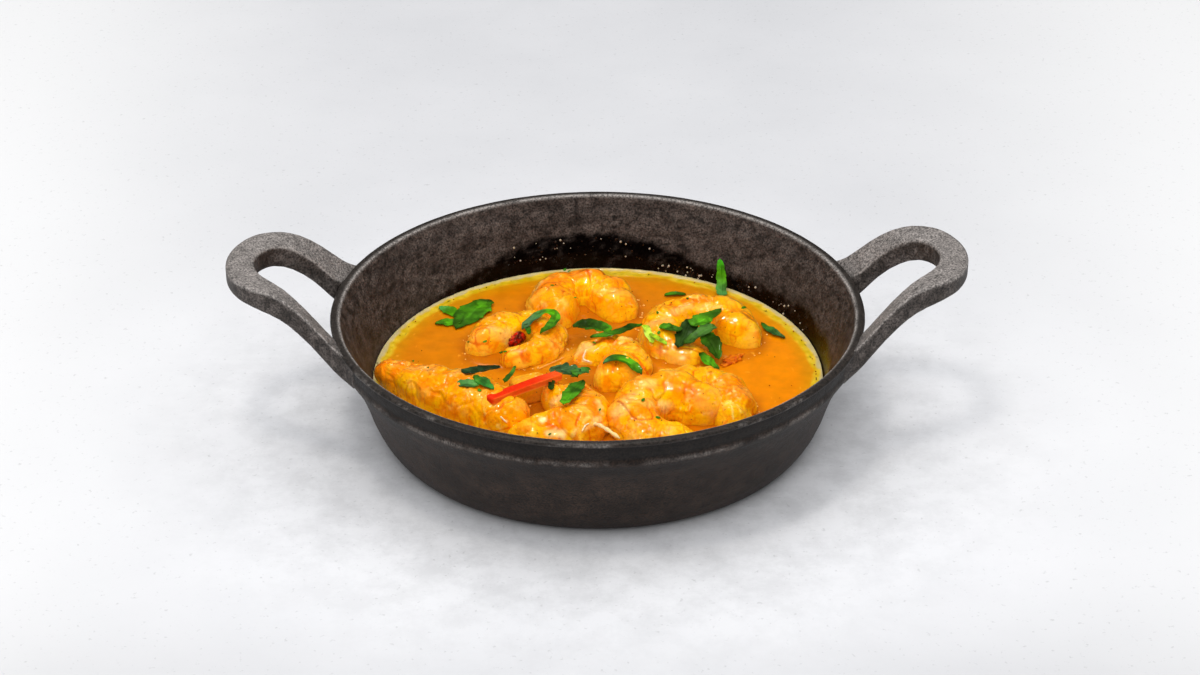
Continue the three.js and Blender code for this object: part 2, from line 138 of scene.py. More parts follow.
def enclosed(points, quads, fans):
    """Six times the signed volume inside closed faces: the sum of a . (b x c) over their triangles."""
    halves = [quads[:, [0, 1, 2]], quads[:, [0, 2, 3]], fans]
    triangles = points[np.concatenate([h for h in halves if len(h)])]
    return np.einsum("ij,ij->i", triangles[:, 0], np.cross(triangles[:, 1], triangles[:, 2])).sum()


NO_FANS = np.zeros((0, 3), int)


def join_shells(shells):
    """Several shells (points, quads, fans, colours), each turned to face outwards, as one."""
    points, quads, fans, colours, start = [], [], [], [], 0
    for p, q, f, c in shells:
        if enclosed(p, q, f) < 0:
            q, f = q[:, ::-1], f[:, ::-1]
        points.append(p)
        colours.append(np.broadcast_to(c, (len(p), 3)))
        quads.append(q + start)
        fans.append(f + start)
        start += len(p)
    return np.concatenate(points), np.concatenate(quads), np.concatenate(fans), np.concatenate(colours)


def make_piece(name, shells, material, stands_for=(), marks=None):
    """A mesh object from shells in mm, with the colour of each point in the attribute "tint". marks are further
    numbers per point, each kept as an attribute of its own."""
    points, quads, fans, colours = join_shells(shells)
    mesh = bpy.data.meshes.new(name)
    mesh.from_pydata((points * MM).tolist(), [], quads.tolist() + fans.tolist())
    mesh.polygons.foreach_set("use_smooth", np.ones(len(mesh.polygons), bool))
    tint = mesh.attributes.new("tint", "FLOAT_COLOR", "POINT")
    tint.data.foreach_set("color", np.c_[colours, np.ones(len(points))].astype(np.float32).ravel())
    for label, values in (marks or {}).items():
        mark = mesh.attributes.new(label, "FLOAT", "POINT")
        mark.data.foreach_set("value", values.astype(np.float32).ravel())
    mesh.materials.append(material)
    mesh.update()
    piece = bpy.data.objects.new(name, mesh)
    bpy.context.scene.collection.objects.link(piece)
    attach(piece, "root")
    if stands_for:
        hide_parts(*stands_for)
    print(f"{name}: {len(quads) * 2 + len(fans)} triangles")
    return piece


def spline(values, t):
    """A smooth curve through values given evenly from t = 0 to t = 1 (Catmull-Rom): numbers, or points as rows."""
    values = np.asarray(values, float)
    padded = np.concatenate([[2 * values[0] - values[1]], values, [2 * values[-1] - values[-2]]])
    u = np.clip(t, 0, 1) * (len(values) - 1)
    i = np.minimum(u.astype(int), len(values) - 2)
    f = (u - i).reshape(u.shape + (1,) * (values.ndim - 1))
    a, b, c, d = padded[i], padded[i + 1], padded[i + 2], padded[i + 3]
    return 0.5 * (2 * b + (c - a) * f + (2 * a - 5 * b + 4 * c - d) * f ** 2 + (3 * b - a - 3 * c + d) * f ** 3)


# %% [markdown]
# A material is a small tree of nodes. One function adds a node, sets what it is told and links what is
# already a socket, so that each tree below reads as a list of its parts.

# %% Material helper


def add(tree, kind, inputs=None, **settings):
    """Adds a node. settings are the node's own options; inputs maps a socket's name or number to a value or to
    another node's output socket."""
    made = tree.nodes.new(kind)
    for key, value in settings.items():
        setattr(made, key, value)
    for key, value in (inputs or {}).items():
        if isinstance(value, bpy.types.NodeSocket):
            tree.links.new(value, made.inputs[key])
        else:
            made.inputs[key].default_value = value
    return made


def new_material(name):
    """An empty material, its tree and its output node."""
    material = bpy.data.materials.new(name)
    material.use_nodes = True
    material.node_tree.nodes.clear()
    return material, material.node_tree, add(material.node_tree, "ShaderNodeOutputMaterial")


def rgba(hex_value):
    return (*linear(hex_value), 1.0)


# %% [markdown]
# The photograph was taken from 29 degrees above the table with a longish lens. The camera stands where the
# ellipses of the lip, the base and the sauce come out as they do in it.

# %% Camera
camera_data = bpy.data.cameras.new("camera")
camera_data.sensor_width = 36
camera_data.lens = 78
camera = bpy.data.objects.new("camera", camera_data)
bpy.context.scene.collection.objects.link(camera)
RIGHT = np.array([0.9999, -0.013602, -0.003866])
UP = np.array([0.009958, 0.483195, 0.875456])
FORWARD = np.array([0.01004, 0.875407, -0.483282])
EYE = np.array([-8.977, -857.178, 508.233]) * MM
placing = np.eye(4)
placing[:3, 0], placing[:3, 1], placing[:3, 2], placing[:3, 3] = RIGHT, UP, -FORWARD, EYE
camera.matrix_world = Matrix(placing.tolist())
camera_data.clip_start, camera_data.clip_end = 0.05, 20
bpy.context.scene.camera = camera
bpy.context.scene.view_settings.view_transform = "Standard"
print("camera at", EYE.round(3))

# %% [markdown]
# The table is a pale plaster-like board. The room behind the camera is dim, so that the wet food keeps its full
# colour, and the light comes from a broad soft lamp overhead, like a diffused window in a ceiling. A small lamp
# at the front left leaves the little white highlights on whatever is wet. The board's colour also carries painted
# light and shade: lighter at the sides and close round the pan, darker towards the front, a mottled shade round
# the pan and a dark painted shadow at its foot.

# %% Light and table
world = bpy.data.worlds.new("tent")
bpy.context.scene.world = world
world.use_nodes = True
world.node_tree.nodes["Background"].inputs["Color"].default_value = rgba("#f4f5f8")
world.node_tree.nodes["Background"].inputs["Strength"].default_value = 0.54


def lamp(name, place, target, size, watts, hex_value, lights=True, shines=True):
    """A square lamp at place, facing target, both in metres. It lights what it falls on, shines on wet things, or both."""
    data = bpy.data.lights.new(name, "AREA")
    data.size = size
    data.energy = watts
    data.color = linear(hex_value)
    made = bpy.data.objects.new(name, data)
    bpy.context.scene.collection.objects.link(made)
    made.visible_camera, made.visible_diffuse, made.visible_glossy = False, lights, shines
    back = np.array(place, float) - np.array(target, float)
    back = back / np.linalg.norm(back)
    side = np.cross([0.0, 1.0, 0.0] if abs(back[2]) > 0.9 else [0.0, 0.0, 1.0], back)
    side = side / np.linalg.norm(side)
    turn = np.eye(4)
    turn[:3, 0], turn[:3, 1], turn[:3, 2], turn[:3, 3] = side, np.cross(back, side), back, place
    made.matrix_world = Matrix(turn.tolist())
    return made


world.cycles_visibility.glossy = False
lamp("overhead_softbox", (-0.05, 0.2, 1.5), (0, 0, 0.02), 2.2, 18.5, "#ffffff", shines=False)
lamp("front_softbox", (-0.1, -1.5, 1.1), (0, 0, 0.02), 1.0, 15.0, "#ffffff", shines=False)
lamp("left_softbox", (-1.3, -0.2, 0.9), (0, 0, 0.02), 0.5, 1.2, "#ffffff", lights=False)
lamp("right_softbox", (1.3, -0.2, 0.9), (0, 0, 0.02), 0.5, 1.2, "#ffffff", lights=False)
lamp("low_card", (0.04, -0.06, 0.23), (-0.04, -0.01, 0.025), 0.14, 0.055, "#ffffff", shines=False)
lamp("window", (-0.3, 0.9, 1.5), (0, 0, 0.02), 0.4, 2.8, "#ffffff", lights=False)
lamp("small_lamp", (-0.15, -0.2, 1.0), (0, 0, 0.02), 0.14, 1.4, "#fffaf2")
lamp("sparkle", (-0.1, 0.05, 1.2), (0, 0, 0.02), 0.09, 5.0, "#ffffff", lights=False)

board_material, tree, output = new_material("pale plastered board")
spot = add(tree, "ShaderNodeTexCoord").outputs["Object"]
cloud = add(tree, "ShaderNodeTexNoise", {"Vector": spot, "Scale": 9.0, "Detail": 6.0, "Roughness": 0.6})
tone = add(tree, "ShaderNodeMix", {"Factor": cloud.outputs["Fac"], 6: rgba("#c4c5c8"), 7: rgba("#dadadc")},
           data_type="RGBA")
across = add(tree, "ShaderNodeSeparateXYZ", {"Vector": spot})
aside = add(tree, "ShaderNodeMath", {0: across.outputs[0]}, operation="ABSOLUTE")
# painted light: the board turns lighter towards the sides, away from the pan
bare = add(tree, "ShaderNodeMapRange", {"Value": aside.outputs[0], "From Min": 0.1, "From Max": 0.32},
           interpolation_type="SMOOTHSTEP")
tone = add(tree, "ShaderNodeMix", {"Factor": bare.outputs[0], 6: tone.outputs[2], 7: rgba("#e8e8e8")},
           data_type="RGBA")
fleck = add(tree, "ShaderNodeTexNoise", {"Vector": spot, "Scale": 420.0, "Detail": 2.0, "Roughness": 0.7})
flecked = add(tree, "ShaderNodeMapRange", {"Value": fleck.outputs["Fac"], "From Min": 0.26, "From Max": 0.36,
                                           "To Min": 0.82, "To Max": 1.0})
tone = add(tree, "ShaderNodeVectorMath", {0: tone.outputs[2], "Scale": flecked.outputs[0]}, operation="SCALE")
away = add(tree, "ShaderNodeVectorMath", {0: spot}, operation="LENGTH")
close = add(tree, "ShaderNodeMapRange", {"Value": away.outputs["Value"], "From Min": 0.09, "From Max": 0.2,
                                         "To Min": 1.0, "To Max": 0.0}, interpolation_type="SMOOTHSTEP")
# painted shade: a mottled darkening of the board close round the pan
shade_mottle_noise = add(tree, "ShaderNodeTexNoise", {"Vector": spot, "Scale": 55.0, "Detail": 9.0, "Roughness": 0.72})
shade_mottle = add(tree, "ShaderNodeMapRange", {"Value": shade_mottle_noise.outputs["Fac"], "From Min": 0.42, "From Max": 0.62,
                                           "To Min": 0.0, "To Max": 0.16})
mottled_shade = add(tree, "ShaderNodeMath", {0: shade_mottle.outputs[0], 1: close.outputs[0]}, operation="MULTIPLY")
kept = add(tree, "ShaderNodeMath", {0: 1.0, 1: mottled_shade.outputs[0]}, operation="SUBTRACT")
# painted light: the board is made brighter close round the pan
painted_light_near_pan = add(tree, "ShaderNodeMapRange", {"Value": away.outputs["Value"], "From Min": 0.1, "From Max": 0.24,
                                         "To Min": 1.18, "To Max": 1.0}, interpolation_type="SMOOTHSTEP")
kept = add(tree, "ShaderNodeMath", {0: kept.outputs[0], 1: painted_light_near_pan.outputs[0]}, operation="MULTIPLY")
# painted shade: the board darkens towards the front
painted_front_shade = add(tree, "ShaderNodeMapRange", {"Value": across.outputs[1], "From Min": -0.24, "From Max": -0.1,
                                          "To Min": 0.79, "To Max": 1.0}, interpolation_type="SMOOTHSTEP")
kept = add(tree, "ShaderNodeMath", {0: kept.outputs[0], 1: painted_front_shade.outputs[0]}, operation="MULTIPLY")
# painted shadow: the board is dark at the pan's foot
painted_foot_shadow = add(tree, "ShaderNodeMapRange", {"Value": away.outputs["Value"], "From Min": 0.075, "From Max": 0.088,
                                        "To Min": 0.45, "To Max": 1.0}, interpolation_type="SMOOTHSTEP")
kept = add(tree, "ShaderNodeMath", {0: kept.outputs[0], 1: painted_foot_shadow.outputs[0]}, operation="MULTIPLY")
tone = add(tree, "ShaderNodeVectorMath", {0: tone.outputs[0], "Scale": kept.outputs[0]}, operation="SCALE")
board = add(tree, "ShaderNodeBsdfPrincipled", {"Base Color": tone.outputs[0], "Roughness": 0.8})
tree.links.new(board.outputs[0], output.inputs["Surface"])
table_mesh = bpy.data.meshes.new("table")
table_mesh.from_pydata([(-4, -4, -0.0002), (4, -4, -0.0002), (4, 4, -0.0002), (-4, 4, -0.0002)], [], [(0, 1, 2, 3)])
table_mesh.materials.append(board_material)
table = bpy.data.objects.new("table", table_mesh)
bpy.context.scene.collection.objects.link(table)
print("stage ready")

# %% [markdown]
# The pan is grey iron cast in sand, seasoned black with baked oil. It is rough to the eye but slightly shiny,
# and the edges that are rubbed most have worn to bare grey metal. Noise of the grain's size gives the sand's
# print; a mark on the mesh, high on those edges, paints the bare metal, and it also paints highlights on the lip's
# inner edge and along the shoulder's ridge. Outside, the band under the lip and the wall under the shoulder carry
# painted shade. Inside, the oil of the sauce has wetted the wall: a mark for wetness makes it black and smooth there.

# %% Seasoned cast iron
iron, tree, output = new_material("seasoned cast iron")
spot = add(tree, "ShaderNodeTexCoord").outputs["Object"]
SAND_GRAIN = 0.7   # mm across one grain's print, drawn twice as coarse as real sand so that it shows
PIT = 1.6          # mm across a casting pit
BLOOM = 5.0        # mm across a cloud in the seasoning
grain = add(tree, "ShaderNodeTexNoise", {"Vector": spot, "Scale": 1 / (SAND_GRAIN * MM), "Detail": 3.0})
pits = add(tree, "ShaderNodeTexNoise", {"Vector": spot, "Scale": 1 / (PIT * MM), "Detail": 2.0, "Roughness": 0.6})
bloom = add(tree, "ShaderNodeTexNoise", {"Vector": spot, "Scale": 1 / (BLOOM * MM), "Detail": 4.0})
tint = add(tree, "ShaderNodeAttribute", attribute_name="tint")
wear_and_highlight = add(tree, "ShaderNodeAttribute", attribute_name="wear_and_highlight")
wet = add(tree, "ShaderNodeAttribute", attribute_name="wet")
grain_share = add(tree, "ShaderNodeMapRange", {"Value": grain.outputs["Fac"], "From Min": 0.35, "From Max": 0.68,
                                               "To Min": 0.35, "To Max": 1.7})
bloom_share = add(tree, "ShaderNodeMapRange", {"Value": bloom.outputs["Fac"], "From Min": 0.3, "From Max": 0.7,
                                               "To Min": 0.8, "To Max": 1.2})
pit_share = add(tree, "ShaderNodeMapRange", {"Value": pits.outputs["Fac"], "From Min": 0.34, "From Max": 0.44,
                                             "To Min": 0.55, "To Max": 1.0})
share = add(tree, "ShaderNodeMath", {0: grain_share.outputs[0], 1: bloom_share.outputs[0]}, operation="MULTIPLY")
share = add(tree, "ShaderNodeMath", {0: share.outputs[0], 1: pit_share.outputs[0]}, operation="MULTIPLY")
black = add(tree, "ShaderNodeVectorMath", {0: tint.outputs["Color"], "Scale": share.outputs[0]}, operation="SCALE")
# bare grey where the iron is worn, and painted highlights on the lip's inner edge and along the shoulder's ridge
bare_and_lit = add(tree, "ShaderNodeMath", {0: wear_and_highlight.outputs["Fac"], 1: grain_share.outputs[0]}, operation="MULTIPLY",
             use_clamp=True)
colour = add(tree, "ShaderNodeMix", {"Factor": bare_and_lit.outputs[0], 6: black.outputs[0], 7: rgba("#a39d98")},
             data_type="RGBA")
dull = add(tree, "ShaderNodeMapRange", {"Value": grain.outputs["Fac"], "From Min": 0.3, "From Max": 0.7,
                                        "To Min": 0.5, "To Max": 0.72})
gloss = add(tree, "ShaderNodeMix", {"Factor": wet.outputs["Fac"], 2: dull.outputs[0], 3: 0.2})
shine = add(tree, "ShaderNodeMix", {"Factor": wet.outputs["Fac"], 2: 0.34, 3: 0.1})
relief = add(tree, "ShaderNodeMath", {0: grain.outputs["Fac"], 1: pit_share.outputs[0]}, operation="MULTIPLY")
relief_depth = add(tree, "ShaderNodeMix", {"Factor": wet.outputs["Fac"], 2: 0.5, 3: 0.12})
bump = add(tree, "ShaderNodeBump", {"Height": relief.outputs[0], "Strength": relief_depth.outputs[0],
                                    "Distance": 0.35 * MM})
shader = add(tree, "ShaderNodeBsdfPrincipled", {"Base Color": colour.outputs[2], "Roughness": gloss.outputs[0],
                                                "Specular IOR Level": shine.outputs[0], "Metallic": 0.2,
                                                "Normal": bump.outputs[0]})
tree.links.new(shader.outputs[0], output.inputs["Surface"])
print("cast iron ready")

# %% [markdown]
# The pan's body is a lathe shape: one profile swept round the upright axis. The profile carries what the casting
# has: a soft corner at the base, a wall that swells outwards, a rounded shoulder, a flat band, a rolled lip
# and a smooth inside. The handles could be bent tubes, but they are flat loops cast with the pan, so each is
# a rounded slab carried along a U, its top following a height that depends on the distance from the pan's axis.

# %% Pan
RIM = 48.4
SAUCE_LEVEL = 19.4
OUTSIDE = [[0, 0], [60, 0], [75.5, 0], [78.6, 0.5], [80.9, 2.0], [82.6, 4.0], [84.9, 8.0], [86.9, 13.0],
           [88.4, 18.0], [89.9, 22.5], [91.4, 26.5], [93.3, 30.5], [95.3, 34.0], [96.7, 36.4], [97.6, 37.5],
           [98.0, 38.5], [97.8, 39.5], [97.2, 40.4], [97.3, 41.4], [97.5, 42.6], [97.5, 45.0], [97.3, 45.9],
           [97.7, 46.3], [98.9, 46.3], [99.7, 46.6], [100.0, 47.2], [99.9, 47.9], [99.3, 48.3]]
INSIDE = [[98.3, 48.4], [97.2, 48.4], [96.5, 48.25], [96.05, 47.7], [95.6, 46.6], [94.6, 44.2], [93.0, 41.0],
          [91.4, 37.0], [90.2, 33.6], [88.8, 30.0], [87.3, 26.0], [86.0, 22.0], [84.7, 18.2], [83.2, 14.2],
          [81.3, 10.6], [78.3, 7.0], [74.8, 4.9], [70.5, 4.0], [40, 4.0], [0, 4.0]]
ROUND = 384  # steps round the pan


def resample(profile, spacing):
    """A profile's points at even steps along its length, corners kept soft by the close stations."""
    profile = np.array(profile, float)
    run = np.r_[0, np.cumsum(np.linalg.norm(np.diff(profile, axis=0), axis=1))]
    steps = np.linspace(0, run[-1], int(run[-1] / spacing))
    return np.stack([np.interp(steps, run, profile[:, 0]), np.interp(steps, run, profile[:, 1])], -1)


def soften(line, times):
    """A line whose inner points move to the mean of themselves and their neighbours, several times over."""
    for _ in range(times):
        line = np.concatenate([line[:1], (line[:-2] + 2 * line[1:-1] + line[2:]) / 4, line[-1:]])
    return line


def pan_body():
    """The profile swept through a whole turn. The radius takes slow noise, because a sand casting is never quite
    true. Gives the shell: its points, quads and triangles."""
    line = soften(resample(OUTSIDE + INSIDE, 0.6), 3)
    turn = np.linspace(0, 2 * np.pi, ROUND, endpoint=False)
    radius, height = line[1:-1, 0][:, None], line[1:-1, 1][:, None]
    rings = np.stack([radius * np.cos(turn), radius * np.sin(turn), height + 0 * turn], -1)
    uneven = 0.10 * layered(rings, 16, 3) + 0.05 * noise(rings, 3, 5)
    push = np.where(radius > 60, uneven, 0)
    rings[..., 0] += push * np.cos(turn)
    rings[..., 1] += push * np.sin(turn)
    points, quads, fans = closed_skin(rings, [0, 0, 0], [0, 0, 4.0])
    return points, quads, fans


def iron_marks(points):
    """Tint, bare metal with painted highlights, and wetness of the iron at each point, from where it is: bare grey
    with a painted highlight on the lip's inner edge, bare on the bead, a painted highlight on the shoulder's ridge,
    dark outside with painted shade under the lip and under the shoulder, mottled inside, and black and wet where
    oil has run up the wall over the sauce."""
    x, y, z = points.T
    radius, turn = np.hypot(x, y), np.degrees(np.arctan2(y, x)) % 360
    wall = np.interp(z, *np.array(INSIDE[::-1])[2:].T[::-1])
    inside = (radius < wall + 0.8) & (z > 3.7)
    patch, fleck = layered(points, 9, 11), noise(points, 1.3, 17)
    mottle = layered(points, 3.2, 13)
    # the lip's inner edge: worn bare, and also a painted highlight
    inner_edge = np.exp(-((radius - 96.3) ** 2 + (z - 48.1) ** 2) / 0.35)
    bead = np.exp(-((radius - 99.9) ** 2 + (z - 47.6) ** 2) / 0.8)
    # the shoulder's ridge: a painted highlight
    fold = np.exp(-((radius - 98.0) ** 2 + (z - 38.9) ** 2) / 0.8)
    wear_and_highlight = inner_edge * smooth_step(-1.2, 0.1, patch + 0.5 * fleck)
    wear_and_highlight = np.maximum(wear_and_highlight, bead * smooth_step(0.1, 0.9, patch + 0.6 * fleck) * 0.4)
    wear_and_highlight = np.maximum(wear_and_highlight, fold * smooth_step(-0.6, 0.6, patch + 0.5 * fleck) * 0.3)
    film_top = np.interp(turn, [0, 20, 40, 55, 62, 75, 90, 104, 112, 118, 128, 150, 180, 230, 310, 360],
                         [26.5, 27.5, 26.5, 24.8, 26.0, 31.5, 33.0, 32.6, 29.6, 27.0, 24.0, 18.0, 17, 17, 18, 26.5])
    film_top = film_top + 1.2 * noise(points, 6, 23) + 1.3 * noise(points, 2.2, 29)
    wet = np.where(inside, smooth_step(2.0, -1.6, z - film_top), 0)
    wet = wet * (1 - 0.3 * smooth_step(0.1, 0.6, layered(points, 2.4, 31)))
    tint = blend(linear("#3a322e"), linear("#554c47"), smooth_step(-0.6, 0.7, mottle + 0.3 * patch))
    tint = blend(tint, linear("#241f1c"), smooth_step(0.25, 0.75, noise(points, 2.0, 19)) * 0.6)
    tint = blend(tint, linear("#120f0d"), smooth_step(0.3, 0.6, fleck) * 0.7)
    low = smooth_step(40, 22, z) * smooth_step(50, 110, np.abs((turn - 90 + 180) % 360 - 180))
    tint = blend(tint, linear("#3c2c20"), low * 0.5)
    outer = blend(linear("#261d18"), linear("#362a23"), smooth_step(-0.5, 0.8, patch + 0.4 * mottle))
    # painted shade: darker in the recessed band under the lip and on the wall under the shoulder's ridge
    outer = blend(outer, linear("#1a1715"), smooth_step(40.0, 41.0, z) * smooth_step(46.4, 45.6, z) * 0.85)
    outer = blend(outer, linear("#1a1715"), smooth_step(31.0, 34.5, z) * smooth_step(38.2, 37.0, z) * 0.5)
    outer = blend(outer, linear("#302b27"), smooth_step(45.9, 47.4, z) * 0.8)
    inside &= z < 47.9
    tint = np.where(inside[:, None], tint, outer)
    tint = blend(tint, linear("#030101"), wet * 0.98)
    return tint, np.clip(wear_and_highlight, 0, 1), wet


# One handle's half outlines in plan from the wall to the tip, and its top as height above the lip by radius
EDGE = [[88.6, 40.2], [92.4, 36.4], [96.4, 34.2], [100, 32.7], [104, 31.2], [108, 29.8], [112, 28.2], [116, 26.7],
        [120, 25.4], [124, 23.9], [127.8, 21.8], [131.2, 18.7], [134.0, 14.4], [136.0, 9.4], [137.1, 4.4], [137.4, 0]]
SLOT = [[96.0, 24.4], [97.6, 22.2], [99.6, 20.8], [102, 20.0], [105, 19.4], [108, 18.6], [111, 17.6], [114, 16.4],
        [117, 15.2], [119.6, 13.8], [122.0, 11.9], [124.0, 9.4], [125.4, 6.7], [126.3, 4.2], [126.8, 2.0], [126.9, 0]]
TOP = [[94, -3.4], [97.5, -1.9], [102, 2.4], [105.5, 6.7], [109, 10.9], [112.7, 14.6], [116, 17.3], [119, 19.0],
       [122, 20.1], [126, 20.7], [130, 21.0], [140, 21.0]]
DEPTH = [[94, 9.4], [97, 9.8], [100, 10.6], [102, 10.4], [107, 10.0], [112, 9.7], [117, 9.5], [121, 9.2], [125, 8.5],
         [129, 7.6], [134, 6.9], [140, 6.4]]
CORNER = 1.3  # mm, rounding of a handle's edges


def rounded_section(arc_steps=6, flat_steps=7):
    """A square with rounded corners, as four numbers per point: where the corner's centre lies (-1 to 1 across
    and up) and the direction from there. A point is centre * (1 - rounding) + direction * rounding."""
    signs = [(1, 1), (-1, 1), (-1, -1), (1, -1), (1, 1)]
    parts = []
    for quarter in range(4):
        turn = np.radians(quarter * 90 + np.linspace(0, 90, arc_steps))
        corner = np.broadcast_to(signs[quarter], (arc_steps, 2))
        parts.append(np.c_[corner, np.cos(turn), np.sin(turn)])
        share = np.linspace(0, 1, flat_steps + 2)[1:-1, None]
        between = np.array(signs[quarter]) * (1 - share) + np.array(signs[quarter + 1]) * share
        facing = np.radians(quarter * 90 + 90)
        parts.append(np.c_[between, np.full(flat_steps, np.cos(facing)), np.full(flat_steps, np.sin(facing))])
    return np.concatenate(parts)


def handle(sign):
    """A rounded rectangle carried along the U: at each station the section spans from the slot's edge to the outer
    edge in plan, and from the underside to the top in height, both read from its distance to the pan's axis."""
    stations = 150
    half = np.linspace(0, 1, stations)
    outer, slot = spline(EDGE, half), spline(SLOT, half)
    outer = np.concatenate([outer, outer[-2::-1] * [1, -1]])
    slot = np.concatenate([slot, slot[-2::-1] * [1, -1]])
    middle, reach = (outer + slot) / 2, (outer - slot) / 2
    width = np.linalg.norm(reach, axis=1)[:, None]
    deep = np.interp(np.hypot(*middle.T), *np.array(DEPTH).T)[:, None]
    round_x, round_z = np.minimum(CORNER / width, 0.95), np.minimum(CORNER / (deep / 2), 0.95)
    across, upward, face_x, face_z = rounded_section().T
    u = across * (1 - round_x) + face_x * round_x
    v = upward * (1 - round_z) + face_z * round_z
    plan = middle[:, None, :] + reach[:, None, :] * u[..., None]
    distance = np.hypot(plan[..., 0], plan[..., 1])
    top = RIM + np.interp(distance, *np.array(TOP).T)
    depth = np.interp(distance, *np.array(DEPTH).T)
    rings = np.concatenate([plan, (top - depth / 2 + v * depth / 2)[..., None]], -1)
    rings[..., 2] += 0.10 * layered(rings, 14, 41) + 0.03 * noise(rings, 2.5, 43)
    rings[..., :2] *= sign
    return closed_skin(rings, rings[0].mean(0), rings[-1].mean(0))


def handle_marks(points):
    """Tint and bare edges of a handle: lighter grey on top as painted light from above, dark on its sides, bare metal
    on its edges.
    """
    x, y, z = points.T
    radius = np.hypot(x, y)
    under_top = RIM + np.interp(radius, *np.array(TOP).T) - z
    patch, fleck = layered(points, 8, 47), noise(points, 1.2, 53)
    # painted light: the top faces are painted lighter grey than the sides, as lit from above
    upper = smooth_step(1.6, 0.5, under_top)
    side = blend(linear("#3d3733"), linear("#57504c"), smooth_step(-0.5, 0.7, noise(points, 2.0, 51)))
    tint = blend(side, linear("#8b8581"), upper * (0.85 + 0.12 * patch) * smooth_step(95, 104, radius))
    edge = np.exp(-(under_top - 0.6) ** 2 / 0.12) * smooth_step(-0.3, 0.7, patch + 0.6 * fleck)
    return tint, np.clip(edge * 0.75, 0, 1), np.zeros(len(points))


shells, wears, wets = [], [], []
points, quads, fans = pan_body()
tint, wear_and_highlight, wet = iron_marks(points)
shells.append((points, quads, fans, tint))
wears.append(wear_and_highlight)
wets.append(wet)
for sign in (1, -1):
    points, quads, fans = handle(sign)
    tint, wear_and_highlight, wet = handle_marks(points)
    shells.append((points, quads, fans, tint))
    wears.append(wear_and_highlight)
    wets.append(wet)
pan = make_piece("cast_pan", shells, iron, ["pan"],
                 {"wear_and_highlight": np.concatenate(wears), "wet": np.concatenate(wets)})

# %% [markdown]
# The food is wet with oily sauce. All of it shares one kind of surface: a colour painted on the points of the
# mesh, light that enters and scatters a millimetre or two, and a thin clear coat of oil. A function builds it,
# because the prawns, the garlic, the chilli and the leaves differ only in how far light enters and how wet they are.

# %% Wet food


def food_material(name, scatter, scatter_mm, rough, coat, relief_mm, relief, oil="#ffffff"):
    """A food surface: the tint attribute as its colour, scatter as the share of light that enters, scatter_mm as
    how far red, green and blue go, rough for the flesh and coat for the oil over it. relief is the bump's
    strength and relief_mm its size. oil is the colour that the coloured oil gives to the flesh's reflection."""
    material, tree, output = new_material(name)
    spot = add(tree, "ShaderNodeTexCoord").outputs["Object"]
    tint = add(tree, "ShaderNodeAttribute", attribute_name="tint")
    grain = add(tree, "ShaderNodeTexNoise", {"Vector": spot, "Scale": 1 / (relief_mm * MM), "Detail": 3.0,
                                             "Roughness": 0.55})
    bump = add(tree, "ShaderNodeBump", {"Height": grain.outputs["Fac"], "Strength": relief,
                                        "Distance": relief_mm * 0.25 * MM})
    share = add(tree, "ShaderNodeMapRange", {"Value": grain.outputs["Fac"], "From Min": 0.3, "From Max": 0.7,
                                             "To Min": 0.9, "To Max": 1.08})
    colour = add(tree, "ShaderNodeVectorMath", {0: tint.outputs["Color"], "Scale": share.outputs[0]},
                 operation="SCALE")
    shader = add(tree, "ShaderNodeBsdfPrincipled", {
        "Base Color": colour.outputs[0], "Roughness": rough, "IOR": 1.38, "Subsurface Weight": scatter,
        "Subsurface Radius": tuple(r * MM for r in scatter_mm), "Subsurface Scale": 1.0,
        "Coat Weight": coat, "Coat Roughness": 0.05, "Coat IOR": 1.45, "Normal": bump.outputs[0],
        "Specular Tint": rgba(oil)})
    tree.links.new(shader.outputs[0], output.inputs["Surface"])
    return material


flesh = food_material("cooked prawn in oily sauce", 0.22, (2.2, 1.0, 0.2), 0.32, 1.0, 1.1, 0.7, "#ffc040")
broth = food_material("chilli and garlic sauce", 0.1, (1.4, 0.7, 0.1), 0.3, 0.2, 5.0, 0.05, "#ffb020")
garlic_flesh = food_material("cooked garlic", 0.3, (2.0, 1.2, 0.5), 0.45, 0.3, 1.2, 0.6, "#ffd070")
leaf_skin = food_material("fresh coriander leaf", 0.0, (0.3, 0.3, 0.1), 0.55, 0.08, 0.9, 0.3, "#b0e060")
chilli_skin = food_material("fresh red chilli", 0.1, (1.2, 0.3, 0.1), 0.32, 0.25, 1.5, 0.2, "#ff8a50")
print("food materials:", [m.name for m in (flesh, broth, garlic_flesh, leaf_skin, chilli_skin)])

# %% [markdown]
# A peeled prawn curls as it cooks. It could be sculpted, but its form has a simple law: an oval section travels
# along a curl whose radius, height and thickness change slowly. The same named values as in the solids give it
# here, with the relief that a cooked prawn shows: a step at each segment, lumps, creases and fine wrinkles, with
# narrow dark lines sunk and narrow pale ones raised.

